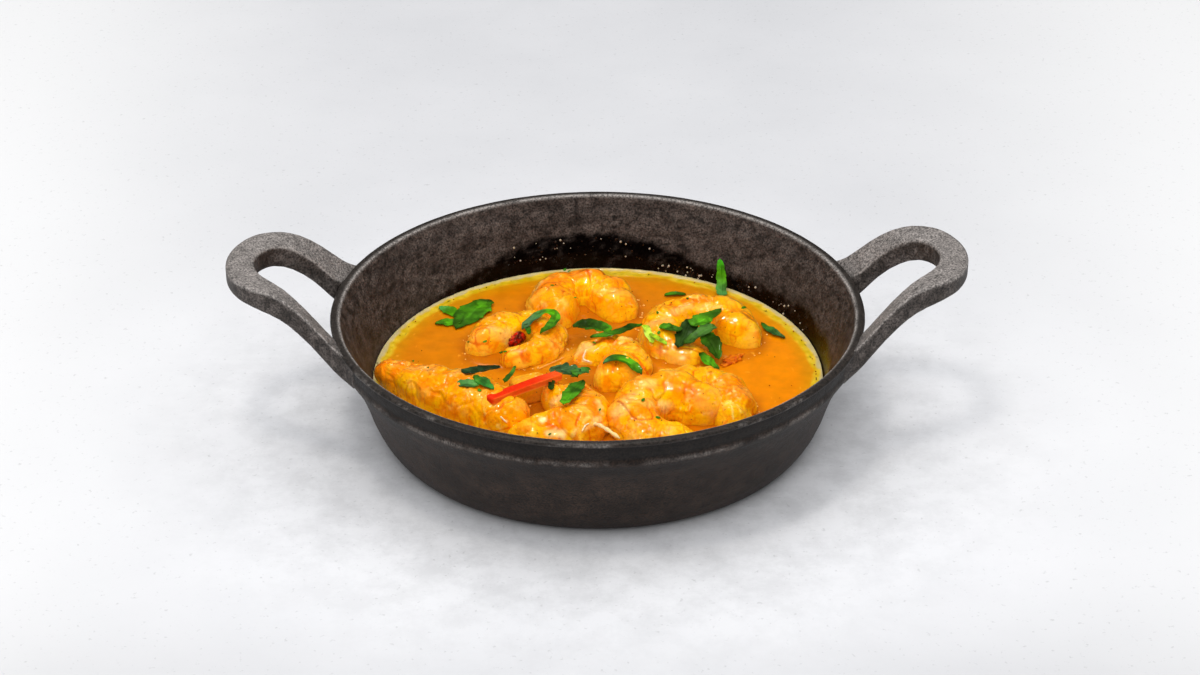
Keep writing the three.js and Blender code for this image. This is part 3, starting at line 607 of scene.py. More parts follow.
# %% Prawns
PRAWNS = {
    "prawn_front_right": dict(middle=(24, -42), start=4, sweep=318, curl=[17.4, 14, 11.6, 11.8, 13.6],
                              rise=[22.5, 25, 23.5, 21, 20.5], girth=[8.4, 9.6, 9.8, 8.8, 6.4]),
    "prawn_front_centre": dict(middle=(-16, -38), start=115, sweep=-265, curl=[10, 11.5, 11.5, 11.5, 20.4],
                               rise=[22.5, 23, 22.5, 22, 21], girth=[6.5, 8.4, 9.2, 9.6, 8.2]),
    "prawn_front_left": dict(middle=(-62, -60), start=113, sweep=-91, curl=[56, 39, 33.9, 33.6, 34],
                             rise=[26.5, 24.6, 23.4, 22.8, 21.5], girth=[4.5, 9.8, 12, 11.6, 9.6]),
    "prawn_centre": dict(middle=(3.5, 2.5), start=-118, sweep=280, curl=[9, 9, 8.3, 9, 12],
                         rise=[20, 21, 21.5, 20.5, 19], girth=[10, 9.3, 8.3, 8, 6]),
    "prawn_left": dict(middle=(-30.5, 19.5), start=206, sweep=-330, curl=[11, 11.6, 13.2, 11, 11.4],
                       rise=[19.5, 20.5, 20.5, 22, 20.5], girth=[9.4, 9, 7.6, 5.8, 4.4]),
    "prawn_back_right": dict(middle=(40, 26.5), start=-32, sweep=318, curl=[14.2, 14.6, 14.2, 16, 15],
                             rise=[20, 20.5, 20.5, 19.5, 17], girth=[9.8, 9.6, 9.1, 8.5, 5.5]),
    "prawn_back_centre": dict(middle=(-5, 49.5), start=-110, sweep=-294, curl=[12, 12.4, 14.2, 12.4, 11.4],
                              rise=[20, 20, 20, 20, 19.5], girth=[10.2, 10.4, 9.8, 10, 9.2]),
    "prawn_right_behind": dict(middle=(31, -33), start=120, sweep=-155, curl=[21, 19, 19.5, 17.5, 16.5],
                               rise=[19.5, 20.5, 21, 21, 20], girth=[6.5, 8.5, 9, 8.8, 7]),
}
FLESH_GAP = 0.7   # mm left between the two arms of a tightly curled prawn
SEGMENTS = 6      # segments of a prawn's tail


def body_line(prawn, t):
    """Middle line and half thickness at t: the azimuth turns evenly, the radius and height follow their values."""
    azimuth = np.radians(prawn["start"] + prawn["sweep"] * t)
    reach, girth = spline(prawn["curl"], t), spline(prawn["girth"], t)
    x = prawn["middle"][0] + reach * np.cos(azimuth)
    y = prawn["middle"][1] + reach * np.sin(azimuth)
    return np.stack([x, y, spline(prawn["rise"], t)], -1), girth, reach, azimuth


def prawn_grid(prawn, rings=230, sides=120):
    """Sections of the body: width and height from the half thickness, fuller inside the curl, rounded off at both
    ends by a quarter ellipse. Returns the points with t along and a round the section."""
    t = np.linspace(0, 1, rings + 2)[1:-1]
    t = 0.75 * t + 0.25 * (0.5 - 0.5 * np.cos(np.pi * t))
    centre, girth, reach, azimuth = body_line(prawn, t)
    forward = np.gradient(centre, axis=0)
    forward /= np.linalg.norm(forward, axis=1)[:, None]
    out = np.stack([np.cos(azimuth), np.sin(azimuth), 0 * azimuth], -1)
    side = np.stack([forward[:, 1], -forward[:, 0], 0 * t], -1)
    side /= np.linalg.norm(side, axis=1)[:, None]
    side *= np.sign((side * out).sum(1))[:, None]
    up = np.cross(side, forward)
    up *= np.sign(up[:, 2])[:, None]
    length = abs(np.radians(prawn["sweep"])) * prawn["curl"][2]
    head = np.minimum(1, t * length / (prawn["girth"][0] * 0.6))
    tail = np.minimum(1, (1 - t) * length / (prawn["girth"][-1] * 0.95))
    rounding = (np.sqrt(1 - (1 - head) ** 2) * np.sqrt(1 - (1 - tail) ** 2))[:, None]
    a = np.linspace(0, 2 * np.pi, sides, endpoint=False)[None, :]
    inner = np.minimum(girth, reach - FLESH_GAP)[:, None]
    across = np.where(np.cos(a) > 0, girth[:, None], inner)
    full = np.where(np.cos(a) < 0, 0.8, 1.0)
    wide, tall = np.sign(np.cos(a)) * np.abs(np.cos(a)) ** full, np.sign(np.sin(a)) * np.abs(np.sin(a)) ** full
    plain = (centre[:, None, :] + (across * rounding * wide)[..., None] * side[:, None, :]
             + (girth[:, None] * rounding * tall)[..., None] * up[:, None, :])
    normal = np.cos(a)[..., None] * side[:, None, :] + np.sin(a)[..., None] * up[:, None, :]
    ends = (centre[0] - forward[0] * 0.1, centre[-1] + forward[-1] * 0.1)
    return plain, normal, t[:, None] + 0 * a, a + 0 * t[:, None], rounding, ends


# What each prawn shows at known places, painted highlights (the near-white spots) and a painted shade among them: the
# places, the half width in mm, the colour and how strongly it covers
MARKS_AND_PAINTED_LIGHT = {
    "prawn_front_left": [
        ([(-83.2, -11.3, 28), (-80.5, -13.9, 29)], 2.2, "#ff7c0a", 0.8),
        ([(-82.9, -10.1, 29.1), (-79.3, -11.5, 31.2)], 0.5, "#8a3a08", 0.7),
        ([(-78.9, -15.6, 27.5), (-75.4, -18.4, 26)], 2.4, "#ff900c", 0.7),
        ([(-70.1, -18, 31.8), (-65.9, -18.6, 32.8), (-61.7, -22.1, 33.2)], 1.7, "#fdcb8c", 0.85),
        ([(-56.8, -18.1, 33), (-53, -21.2, 33.7)], 1.2, "#fdd08c", 0.7),
        ([(-53.8, -27.1, 33.8), (-49.7, -25.9, 34.3)], 1.6, "#f8bc80", 0.8),
        ([(-57.3, -26.2, 33.2), (-54.9, -27.4, 33.5)], 0.8, "#e4640a", 0.7),
        ([(-65.3, -26.3, 28.3), (-61.9, -29.1, 28)], 2.8, "#f0dc80", 0.75),
        # painted highlight
        ([(-59.6, -27.9, 31.4)], 1.0, "#fde0b8", 0.9),
        ([(-54.8, -30.7, 32), (-52.8, -31.8, 32.2)], 0.8, "#fdd8ac", 0.9),
        # painted highlight
        ([(-60, -31.2, 25.7)], 1.2, "#fdd8b0", 0.9),
        ([(-53.6, -35.6, 27.5), (-51.7, -36.7, 28)], 1.1, "#fde0bc", 0.9),
        ([(-58.4, -30.6, 29.6), (-55, -32.9, 29.9)], 1.3, "#ee7a10", 0.6),
        ([(-50, -36.1, 30.6), (-50.7, -37.5, 28), (-51.2, -38.2, 24.5)], 0.45, "#a83c08", 0.9),
        ([(-47.2, -37, 31.5), (-47.9, -39.9, 27.2)], 2.1, "#fdc48a", 0.85),
        # painted highlight
        ([(-47.6, -38.9, 29.4)], 1.2, "#ffdcb4", 0.8),
        ([(-43.1, -36.3, 33.3), (-40.5, -38.2, 33.2)], 1.0, "#f0600a", 0.7),
        ([(-43.1, -39.7, 31.6), (-43.1, -43.1, 28.4), (-43.1, -44.9, 24.4)], 0.5, "#ee8a10", 0.7),
        ([(-40.3, -41.8, 31.5), (-39.5, -47, 25.9)], 2.2, "#ffb81c", 0.7),
        ([(-38.4, -44.1, 30.8), (-36.1, -46.6, 28.5), (-33.6, -47.3, 26.8)], 0.5, "#ffe0b0", 0.9),
        ([(-31.8, -42.8, 31.6), (-29, -44.7, 28.2)], 2.0, "#f9a80c", 0.6),
    ],
    "prawn_left": [
        ([(-40, 19.6, 27.3), (-35.4, 20.6, 25.5), (-33.2, 21.3, 22.4)], 2.6, "#fbd2a2", 0.9),
        ([(-39.8, 20.9, 28.3), (-35.3, 23.3, 26.9)], 0.4, "#b89c20", 0.8),
        ([(-35, 25.2, 27.7), (-32.7, 25.2, 26.8), (-31.6, 24.5, 25.4)], 0.7, "#ffd4ac", 0.85),
        # painted highlight
        ([(-42.6, 18, 23.3)], 1.4, "#ffe2a4", 0.9),
        ([(-47.5, 19.4, 24.1), (-45.4, 18.6, 24.5)], 1.0, "#ffd860", 0.7),
        ([(-47.3, 18.4, 19.2), (-43.2, 18.6, 15.5), (-37.8, 19.8, 14.4)], 2.4, "#ffb60c", 0.8),
        ([(-33.7, 32, 28.7), (-29.2, 32.5, 28.5)], 0.9, "#ee8a24", 0.7),
        ([(-21.6, 6.7, 25.8), (-19.8, 9.1, 26.3)], 1.3, "#ff7e08", 0.7),
        ([(-27, 7.7, 26.6), (-24.3, 5.2, 25.8)], 1.8, "#ff9a14", 0.7),
        # painted highlight
        ([(-29.7, 7.3, 24.4)], 1.4, "#fff0e0", 0.95),
        # painted highlight
        ([(-34.5, 20.2, 15.9)], 0.7, "#ffe2bc", 0.9),
        ([(-20.3, 15.4, 27.5), (-16, 19.9, 27.2)], 3.0, "#ffa606", 0.7),
        ([(-12.8, 25.7, 24.6), (-11.3, 21.4, 21.9)], 0.8, "#f6c48c", 0.8),
    ],
    "prawn_centre": [
        ([(2, 4.4, 24.2), (6.1, 3.8, 27.4), (10.7, 0.8, 30), (14.2, -2.5, 29.7)], 1.8, "#ffb806", 0.85),
        ([(-2.2, 7.4, 14.3), (4.3, -15.3, 23.9), (10.9, -13.3, 25.1)], 3.0, "#f5a20a", 0.7),
        ([(0.9, -11.9, 26.6), (3.2, -13.1, 27)], 0.9, "#fcc050", 0.8),
        ([(13.5, -2.8, 29.8), (16.3, -6.4, 27.4), (18.2, -6.9, 24.2),
          (19.3, -5.9, 21.2)],
         0.85, "#fb7208", 0.9),
        ([(18.1, 1.3, 27.5), (19.8, -1.3, 24.8)], 1.4, "#ffb208", 0.7),
        ([(-7.6, 10.2, 24.2), (-5.4, 9.7, 25.7), (-2.8, 8.4, 26.4)], 2.0, "#f4d2ae", 0.85),
        ([(-4.5, 7.6, 25), (-5.3, 5.9, 22.1), (-2.8, 5.1, 21.4)], 0.6, "#ffe4c0", 0.9),
        ([(-1.5, 6.2, 25.1), (1.1, 7, 26.7)], 0.6, "#fbdcae", 0.8),
        ([(0.4, 6.1, 25.6), (2.7, 6.6, 27.1)], 0.5, "#fbdcae", 0.7),
        ([(1.2, 5, 24.5)], 0.6, "#e05a08", 0.8),
        ([(9.8, 8.8, 29.5), (13, 10.3, 28.6)], 1.3, "#f8c890", 0.8),
        ([(12.6, 10.5, 28.7)], 0.7, "#d04a10", 0.8),
        # painted shade under the bulge
        ([(-0.3, -12, 16.6), (4.4, -15.1, 16.8), (9.7, -14.6, 18.1)], 1.6, "#c86c08", 0.6),
    ],
    "prawn_front_centre": [
        ([(-12.5, -33.4, 29), (-14.8, -33.3, 27.2), (-17.3, -32.4, 24.8)], 1.6, "#fbd0a8", 0.85),
        # painted highlight
        ([(-13.6, -32.7, 28.7), (-15.5, -33.2, 27)], 0.8, "#fff2e4", 0.95),
        ([(-14.4, -49.6, 31.6), (-11.5, -53.3, 30.4), (-9.5, -55.2, 28.3)], 3.2, "#fd920a", 0.8),
        ([(-29.6, -50, 27.5), (-24.7, -48.8, 29.5), (-20.8, -47.5, 30.1)], 2.6, "#ffc012", 0.85),
        # painted highlight
        ([(-20.9, -51.8, 30.9)], 1.2, "#fff4e0", 0.95),
        ([(-16.7, -49.3, 31.4), (-16.5, -51.8, 31.3)], 0.6, "#ee6c10", 0.8),
        ([(-7.1, -49, 31.2), (-8, -52.4, 30), (-8.5, -54, 29)], 0.5, "#e45408", 0.85),
        ([(-17.6, -57.9, 27.9), (-15.9, -57.3, 28.3), (-13.8, -57.4, 27.5)], 1.5, "#fbe2c4", 0.9),
        ([(-1.8, -49.8, 28.4), (0.7, -47.3, 27.7)], 1.0, "#f9cfa0", 0.85),
        ([(-5.9, -54.4, 26.9), (-2.7, -51.4, 27.6)], 0.9, "#fac890", 0.85),
        ([(-10, -56.8, 26.2), (-8.5, -55.1, 27.8)], 0.8, "#fbd090", 0.85),
        ([(-5.8, -52.1, 29.2), (-4.1, -49.6, 30)], 0.8, "#ffd88c", 0.8),
        ([(-4.8, -36.3, 31.7), (-1.8, -41.2, 31.1), (-0.7, -46.6, 29.4)], 1.1, "#ff8a1c", 0.8),
        ([(-0.3, -40.2, 30.6), (1.4, -44.5, 28.4)], 1.0, "#f6cb98", 0.85),
        ([(-3.7, -32.3, 31.5), (0.6, -36.7, 30.1)], 1.4, "#ffb03a", 0.8),
        ([(-3.8, -53.7, 25.5), (0.7, -50, 23.6)], 2.6, "#f29410", 0.6),
    ],
    "prawn_front_right": [
        ([(9, -42.4, 32.1), (11.7, -39.2, 33.2)], 2.2, "#f9bc82", 0.85),
        ([(6.6, -41, 31.1), (7.9, -42.8, 31.6), (9.9, -47, 31.3), (11.7, -50.4, 30.6),
          (15.2, -52.5, 30), (19.5, -52.7, 28.9)],
         0.5, "#c44c0c", 0.95),
        ([(18.9, -51.7, 29), (19.8, -52.6, 28.8)], 1.0, "#f05808", 0.9),
        ([(6.1, -46, 29.6), (7.9, -46.8, 30.6)], 2.6, "#eed2a6", 0.9),
        ([(16.1, -34.4, 34.2), (18.9, -33.6, 34.1)], 2.2, "#f3dc9c", 0.9),
        ([(16.2, -43.5, 31.4), (18.9, -41.7, 30)], 1.8, "#eecd84", 0.85),
        # painted highlight
        ([(19.2, -44.2, 28.7)], 1.0, "#ffffff", 0.95),
        ([(22.6, -38.5, 28.3), (24.9, -37.8, 25.8)], 1.8, "#fbe2b6", 0.85),
        ([(14.5, -40.2, 32.9), (19.1, -37.9, 32), (23.9, -36.4, 30.6)], 1.6, "#ffc604", 0.85),
        ([(32.3, -37, 29.7)], 1.3, "#f8b478", 0.85),
        ([(33, -39.2, 26.9)], 0.35, "#3a2008", 0.95),
        ([(36.7, -38.8, 29.1), (39.4, -39.3, 27.4), (41.7, -39.2, 25.3)], 2.6, "#fb9c58", 0.85),
        # painted highlight
        ([(38.3, -39.9, 25.4), (41, -39.5, 25.5)], 0.9, "#ffd0b4", 0.9),
        ([(31.2, -34.9, 31.5), (36.7, -36.5, 31.3), (40.6, -37.7, 29.4), (43.1, -37.9, 26.8),
          (44.2, -37.7, 24)],
         0.5, "#a84008", 0.9),
        ([(30.6, -37.4, 20.7), (34.8, -39.7, 22.3), (39.1, -40, 23.2)], 0.5, "#e07410", 0.8),
        ([(33.5, -37.3, 18), (38.6, -39.1, 19.8)], 1.6, "#fbbc74", 0.8),
        # painted highlight
        ([(34.4, -37.3, 17.6)], 0.8, "#fff0e0", 0.9),
        ([(14.6, -55.1, 29.1), (21.6, -55.4, 28.4)], 2.0, "#ffa412", 0.7),
    ],
    "prawn_right_behind": [
        ([(21.5, -11.8, 25), (25.8, -14.7, 27.3), (29.5, -16.5, 27.7), (32.2, -19.8, 26.7),
          (34.6, -21.8, 25.6), (37.5, -23.7, 24.7)],
         0.45, "#de640a", 0.9),
        ([(23.2, -12.4, 26.6), (28.2, -14, 27.9)], 1.1, "#fdd078", 0.85),
        ([(29, -19.5, 25.5), (32.7, -21.2, 25.3)], 1.0, "#fbd27a", 0.8),
        ([(38.9, -24.2, 25.5), (40.2, -24.2, 27)], 0.8, "#ee6008", 0.85),
        ([(40.5, -18.7, 29.5), (41.8, -17.9, 29.8)], 0.6, "#a86410", 0.8),
        ([(47.3, -24.7, 30.1), (48.5, -30.2, 30), (49.6, -35.3, 29.2)], 0.5, "#e6860c", 0.85),
        ([(48.2, -39.4, 28.2), (48.7, -41.6, 26.6), (49.3, -43, 24.7)], 0.45, "#ffe294", 0.9),
        ([(50.6, -38, 28.2), (51.5, -41.2, 26)], 0.4, "#ffe294", 0.7),
        ([(45.8, -38.1, 28.3), (46.8, -37.4, 28.7)], 1.2, "#fcdc6c", 0.85),
        ([(42.9, -37.2, 27.1), (45, -40.9, 25.9)], 2.2, "#fbb620", 0.7),
    ],
    "prawn_back_right": [
        ([(19, 23.1, 26.7), (23.7, 24.3, 28.8), (27.4, 26, 28.6)], 2.2, "#fabf82", 0.85),
        ([(29.9, 30.8, 28.7), (33.5, 34.5, 28.8), (36.6, 35.4, 28.5)], 1.6, "#fac88e", 0.85),
        ([(39.7, 35, 27.6), (43.5, 35.8, 28.4), (46.7, 34.1, 28.6)], 1.6, "#fcd486", 0.8),
        ([(54.7, 25, 27.7), (56.7, 25, 27.4)], 0.7, "#dc5a10", 0.9),
        # painted highlight
        ([(57, 23.9, 25.8), (56, 23, 23.4)], 0.7, "#ffecba", 0.9),
        ([(53.3, 24.3, 26), (54.7, 23.9, 25.7)], 1.0, "#ffd484", 0.8),
        ([(49.4, 24.8, 19), (55.3, 22.8, 18.9), (60.1, 23.3, 20)], 2.2, "#f2ac26", 0.8),
        ([(25.4, 38.9, 28.1), (32.9, 42, 29.3), (40.5, 41.8, 29.7)], 0.7, "#ffb830", 0.7),
        ([(24.2, 10.2, 23.7), (27.9, 8, 23.3), (32.9, 6.3, 22.5)], 2.6, "#e29a5a", 0.85),
        # painted highlights, here and on the next line
        ([(25.2, 9.4, 23.5)], 0.8, "#ffece0", 0.9),
        ([(32.3, 6.1, 22.2)], 0.9, "#ffe0c8", 0.9),
        ([(22.2, 10.2, 20.2), (24.1, 8.6, 18), (27.1, 6.9, 17.3)], 0.5, "#f6d09c", 0.9),
    ],
    "prawn_back_centre": [
        # painted highlights, here and on the next line
        ([(-21.4, 42.2, 27.3), (-20, 39.7, 27.2)], 1.2, "#ffe08c", 0.85),
        ([(-13.5, 39.4, 29), (-12.2, 38.9, 28.2)], 1.2, "#ffe4a8", 0.85),
        ([(-20.2, 45, 28.7), (-15.6, 41.5, 29.2), (-10.7, 39.9, 27)], 3.0, "#ffc010", 0.85),
        ([(-24.2, 56.2, 25.8), (-21.7, 57.7, 27.8)], 1.0, "#ffdaa4", 0.85),
        ([(-6.2, 57.8, 26.3), (-3.7, 55.3, 23.8)], 0.9, "#ffe2c4", 0.85),
        ([(2.6, 49.6, 27), (7.7, 48.6, 28.3)], 2.0, "#ffca84", 0.85),
        ([(-4.9, 55.4, 20.8), (0.2, 47, 22.5)], 1.0, "#d87010", 0.7),
        ([(-3.7, 63.3, 29.3)], 0.9, "#dc3c10", 0.85),
        ([(-17.4, 61.8, 28.8), (-11.9, 64.2, 29.2), (-8, 60.9, 28.7)], 1.8, "#ff8e12", 0.8),
    ],
}
# Where the flesh is rough and bubbly: a place and a radius in mm
ROUGH = {
    "prawn_front_left": [((-36, -45, 28), 8.5)],
    "prawn_front_right": [((32, -39, 27), 4.5), ((16, -56, 27), 5.0)],
    "prawn_right_behind": [((47, -34, 28), 7.0), ((42, -22, 29), 5.0)],
    "prawn_back_right": [((42, 41, 28), 8.0)],
}


def mark_share(points, places, width, seed):
    """How much of a mark covers each point: whole near the line through its places, fading out towards twice its
    half width. Noise bends the line, so that no border is straight. Narrow marks keep a clearer border."""
    places = np.array(places * 2 if len(places) == 1 else places, float)
    near = np.linalg.norm(points - places.mean(0), axis=-1) < 4 * width + 3 + np.ptp(places, axis=0).max()
    bent = points[near]
    bent = bent + width * 0.5 * np.stack([noise(bent, max(1.6 * width, 1.2), seed + k) for k in (0, 5, 9)], -1)
    nearest = np.full(len(bent), 1e3)
    for start, end in zip(places[:-1], places[1:]):
        run = end - start
        t = np.clip(((bent - start) @ run) / max(run @ run, 1e-9), 0, 1)
        nearest = np.minimum(nearest, np.linalg.norm(bent - start - t[:, None] * run, axis=-1))
    share = np.zeros(points.shape[:-1])
    fade = 1.4 if width < 0.9 else 1.75
    share[near] = smooth_step(fade * width, 0.3 * width, nearest)
    return share


def rough_share(name, points):
    """How rough the flesh is at each point, from the places named for this prawn."""
    share = np.zeros(points.shape[:-1])
    for place, radius in ROUGH.get(name, []):
        share = np.maximum(share, smooth_step(radius, radius * 0.5, np.linalg.norm(points - np.array(place), axis=-1)))
    return share


def segment_phase(points, t, a, seed):
    """Place within a segment, 0 to 1: the edges lean back round the section and wander with noise."""
    return (t * SEGMENTS + 0.22 * noise(points, 7, seed + 2) + 0.16 * np.cos(a)) % 1.0


def prawn_relief(name, points, t, a, seed):
    """How far the skin stands out in mm: each segment swells and drops at its edge, most on the outside of the curl.
    Broad and middling lumps, faint creases across, beads where it is rough, and the narrow marks come on top."""
    phase = segment_phase(points, t, a, seed)
    outside = smooth_step(-0.7, 0.4, np.cos(a))
    swell = 1.0 * (np.sin(np.pi * np.minimum(phase / 0.9, 1) ** 1.4) - 0.5) * outside
    lumps = 0.7 * layered(points, 8, seed) + 0.5 * noise(points, 3.4, seed + 4)
    crease = 0.1 * noise(np.stack([t * 38, 2 * np.cos(a), 2 * np.sin(a)], -1), 1.0, seed + 5)
    crease -= 0.35 * smooth_step(0.16, 0.0, np.abs(noise(points, 5.5, seed + 21))) + 0.2 * smooth_step(
        0.2, 0.0, np.abs(noise(points, 2.6, seed + 6)))
    fine = 0.2 * layered(points, 1.6, seed + 7)
    beads = 0.5 * np.abs(noise(points, 1.5, seed + 9)) + 0.25 * noise(points, 0.9, seed + 8)
    relief = swell + lumps + crease + fine + rough_share(name, points) * (beads - 0.2)
    for number, (places, width, colour, strength) in enumerate(MARKS_AND_PAINTED_LIGHT.get(name, [])):
        if width <= 0.8:
            pale = linear(colour)[1] > 0.4
            relief += (0.3 if pale else -0.45) * strength * mark_share(points, places, width, seed + 40 + 10 * number)
    return relief - 0.15


def prawn_tint(name, points, t, a, seed):
    """The painted colour: orange and yellow by broad noise, yellower low down, partly as painted light, peach where
    flesh shows through the sauce, a rusty line and a paler band at each segment's edge, darker orange-red in the
    creases, partly the flesh's own lines and partly painted shade, specks, and over them this prawn's marks, painted
    highlights and shade among them."""
    base = blend(linear("#ff8d00"), linear("#ffba00"), smooth_step(-0.4, 0.4, layered(points, 8, seed + 11)))
    # yellower low down: partly the flesh's colour, partly painted light for light shining through the flesh
    base = blend(base, linear("#ffcc18"), smooth_step(28, 21, points[..., 2]) * 0.6)
    base = blend(base, linear("#ff8600"), smooth_step(27.5, 31, points[..., 2]) * 0.3)
    cream = smooth_step(0.25, 0.6, layered(points, 6.5, seed + 13) + 0.2 * noise(points, 1.5, seed + 14))
    base = blend(base, linear("#ffc452"), cream * 0.45)
    phase = segment_phase(points, t, a, seed)
    outside = smooth_step(-0.3, 0.5, np.cos(a))
    base = blend(base, linear("#ffc450"), np.exp(-((phase - 0.4) / 0.16) ** 2) * outside * 0.35)
    line = np.exp(-((phase - 0.93) / 0.035) ** 2) * smooth_step(-0.3, 0.4, noise(points, 5, seed + 17))
    base = blend(base, linear("#d84c02"), line * outside * 0.85)
    # darker orange-red in the creases of the relief: partly the flesh's own red lines, partly painted shade in the
    # creases
    thread = smooth_step(0.1, 0.02, np.abs(noise(points, 5.5, seed + 21))) * smooth_step(-0.3, 0.5, noise(points, 9, seed + 22))
    base = blend(base, linear("#dc5400"), thread * 0.85)
    base = blend(base, linear("#ee6e00"), smooth_step(0.14, 0.0, np.abs(noise(points, 2.6, seed + 6))) * 0.5)
    streak = smooth_step(0.35, 0.75, noise(np.stack([t * 20, 2.2 * np.cos(a), 2.2 * np.sin(a)], -1), 1.0, seed + 24))
    base = blend(base, linear("#f47000"), streak * 0.6)
    for number, (places, width, colour, strength) in enumerate(MARKS_AND_PAINTED_LIGHT.get(name, [])):
        shown = linear(colour) * np.array([1.0, 0.92, 0.45])
        base = blend(base, shown, strength * (0.75 if width > 1.5 else 1) * mark_share(points, places, width, seed + 40 + 10 * number))
    rough = rough_share(name, points)
    base = blend(base, linear("#ffd060"), rough * smooth_step(0.35, 0.7, noise(points, 1.1, seed + 25)) * 0.7)
    base = blend(base, linear("#e08408"), rough * smooth_step(0.2, 0.6, noise(points, 1.6, seed + 27)) * 0.6)
    specks = smooth_step(0.72, 0.86, noise(points, 0.9, seed + 23))
    base = blend(base, linear("#a84c06"), specks * 0.6)
    return blend(base, linear("#e88c00"), smooth_step(20.3, 19.0, points[..., 2]) * 0.4)


def make_prawn(name, prawn, seed):
    plain, normal, t, a, rounding, ends = prawn_grid(prawn)
    relief = prawn_relief(name, plain, t, a, seed) * rounding
    points = plain + normal * relief[..., None]
    colours = prawn_tint(name, plain, t, a, seed)
    skin, quads, fans = closed_skin(points, points[0].mean(0), points[-1].mean(0))
    tips = np.stack([colours[0].mean(0), colours[-1].mean(0)])
    make_piece(name + "_flesh", [(skin, quads, fans, np.concatenate([colours.reshape(-1, 3), tips]))],
               flesh, [name])


for number, (name, prawn) in enumerate(PRAWNS.items()):
    make_prawn(name, prawn, 100 * (number + 1))

# %% [markdown]
# The sauce lies level, but it climbs a little where it meets the iron and the prawns, and a ring of fine yellow
# froth has gathered along the wall. Its top is a height over a round grid: the level, plus a rim that fades
# with the distance to the wall and to each prawn. The rest of the body follows the inside of the pan.

# %% Sauce


def waterline_distance(x, y):
    """Distance in mm from a place on the sauce to the nearest prawn: to its middle line, less the half width
    that the oval section has at the sauce's level."""
    nearest = np.full(x.shape, 1e3)
    for prawn in PRAWNS.values():
        centre, girth, _, _ = body_line(prawn, np.linspace(0.02, 0.98, 50))
        width = np.sqrt(np.maximum(girth ** 2 - (centre[:, 2] - SAUCE_LEVEL) ** 2, 0.01))
        for (px, py, _), w in zip(centre, width):
            nearest = np.minimum(nearest, np.hypot(x - px, y - py) - w)
    return nearest


def sauce_shell():
    """A round grid of the top, then rings that follow the pan's inside down to its floor."""
    turn = np.linspace(0, 2 * np.pi, ROUND, endpoint=False)
    edge = np.interp(SAUCE_LEVEL, [18.2, 22.0], [84.7, 86.0]) - 0.12
    reach = edge * np.linspace(0, 1, 200)[1:] ** 0.8
    x, y = reach[:, None] * np.cos(turn), reach[:, None] * np.sin(turn)
    flat = np.stack([x, y, np.full(x.shape, SAUCE_LEVEL)], -1)
    beside = waterline_distance(x, y)
    from_wall = edge - reach[:, None] + 0 * turn
    foam_width = 3.6 + 1.2 * noise(flat, 9, 61) + 0.6 * noise(flat, 2.4, 62)
    foam = smooth_step(1.0, -1.0, from_wall - foam_width)
    height = SAUCE_LEVEL + 0.3 * np.exp(-np.maximum(beside, -0.5) / 0.8) + 0.9 * np.exp(-from_wall / 0.9)
    height += 0.10 * layered(flat, 14, 63) + foam * (0.22 + 0.16 * noise(flat, 1.0, 64))
    top = np.stack([x, y, height], -1)
    below = np.array([[84.4, 18.2], [83.0, 14.2], [81.0, 10.7], [78.0, 7.2], [74.5, 5.1], [70, 4.2], [35, 4.2]])
    sides = np.stack([below[:, :1] * np.cos(turn), below[:, :1] * np.sin(turn), below[:, 1:] + 0 * turn], -1)
    rings = np.concatenate([top, sides])
    points, quads, fans = closed_skin(rings, [0, 0, height[0].mean()], [0, 0, 4.2])
    pool = blend(linear("#d27802"), linear("#e68400"), smooth_step(-10, 60, x - 0.5 * y + 9 * layered(flat, 26, 65)))
    pool = blend(pool, linear("#ca6e06"), smooth_step(0.1, 0.7, layered(flat, 12, 68)) * 0.45)
    # painted shade: the sauce is darker and browner close round each prawn
    pool = blend(pool, linear("#b05c06"), smooth_step(5.5, 0, beside) * 0.65)
    sunk = mark_share(flat, [(-23, 7, 19.4), (-15, 10.5, 19.4), (-8, 17, 19.4)], 3.0, 71)
    pool = blend(pool, linear("#f0a41c"), sunk * 0.7)
    pool = blend(pool, linear("#cc9208"), smooth_step(11, 3, from_wall) * 0.6)
    pool = blend(pool, linear("#ffae2e"), smooth_step(0.82, 0.92, noise(flat, 1.4, 69)) * 0.5)
    froth = blend(linear("#c8a40c"), linear("#dcb82a"), smooth_step(-0.4, 0.5, noise(flat, 1.8, 66)))
    froth = blend(froth, linear("#b8ae88"), smooth_step(1.7, 0.5, from_wall + 0.8 * noise(flat, 2.2, 70)) * 0.8)
    froth = blend(froth, linear("#2a240c"), smooth_step(0.8, 0.9, noise(flat, 1.2, 67)) * 0.85)
    tint = blend(pool, froth, foam)
    tint = np.concatenate([tint.reshape(-1, 3), np.broadcast_to(linear("#d07208"), (len(points) - tint.shape[0] * ROUND, 3))])
    return points, quads, fans, tint


make_piece("orange_sauce", [sauce_shell()], broth, ["sauce"])

# %% [markdown]
# Coriander was torn over the dish. A leaf piece is a thin ribbon that follows a line in space: its width changes
# along the way, its margin is toothed, its middle rib sinks and its edges curl. Both faces are computed, so
# that the leaf has a real thickness.

# %% Coriander


def rest_height(points):
    """Height of the sauce or of a prawn's upper side under each point."""
    height = np.full(points.shape[:-1], SAUCE_LEVEL)
    for prawn in PRAWNS.values():
        centre, girth, _, _ = body_line(prawn, np.linspace(0, 1, 60))
        for c, g in zip(centre, girth):
            away = np.hypot(points[..., 0] - c[0], points[..., 1] - c[1])
            height = np.maximum(height, c[2] + np.sqrt(np.maximum(g * g - away * away, 0)) * (away < g)
                                - 99 * (away >= g))
    return height


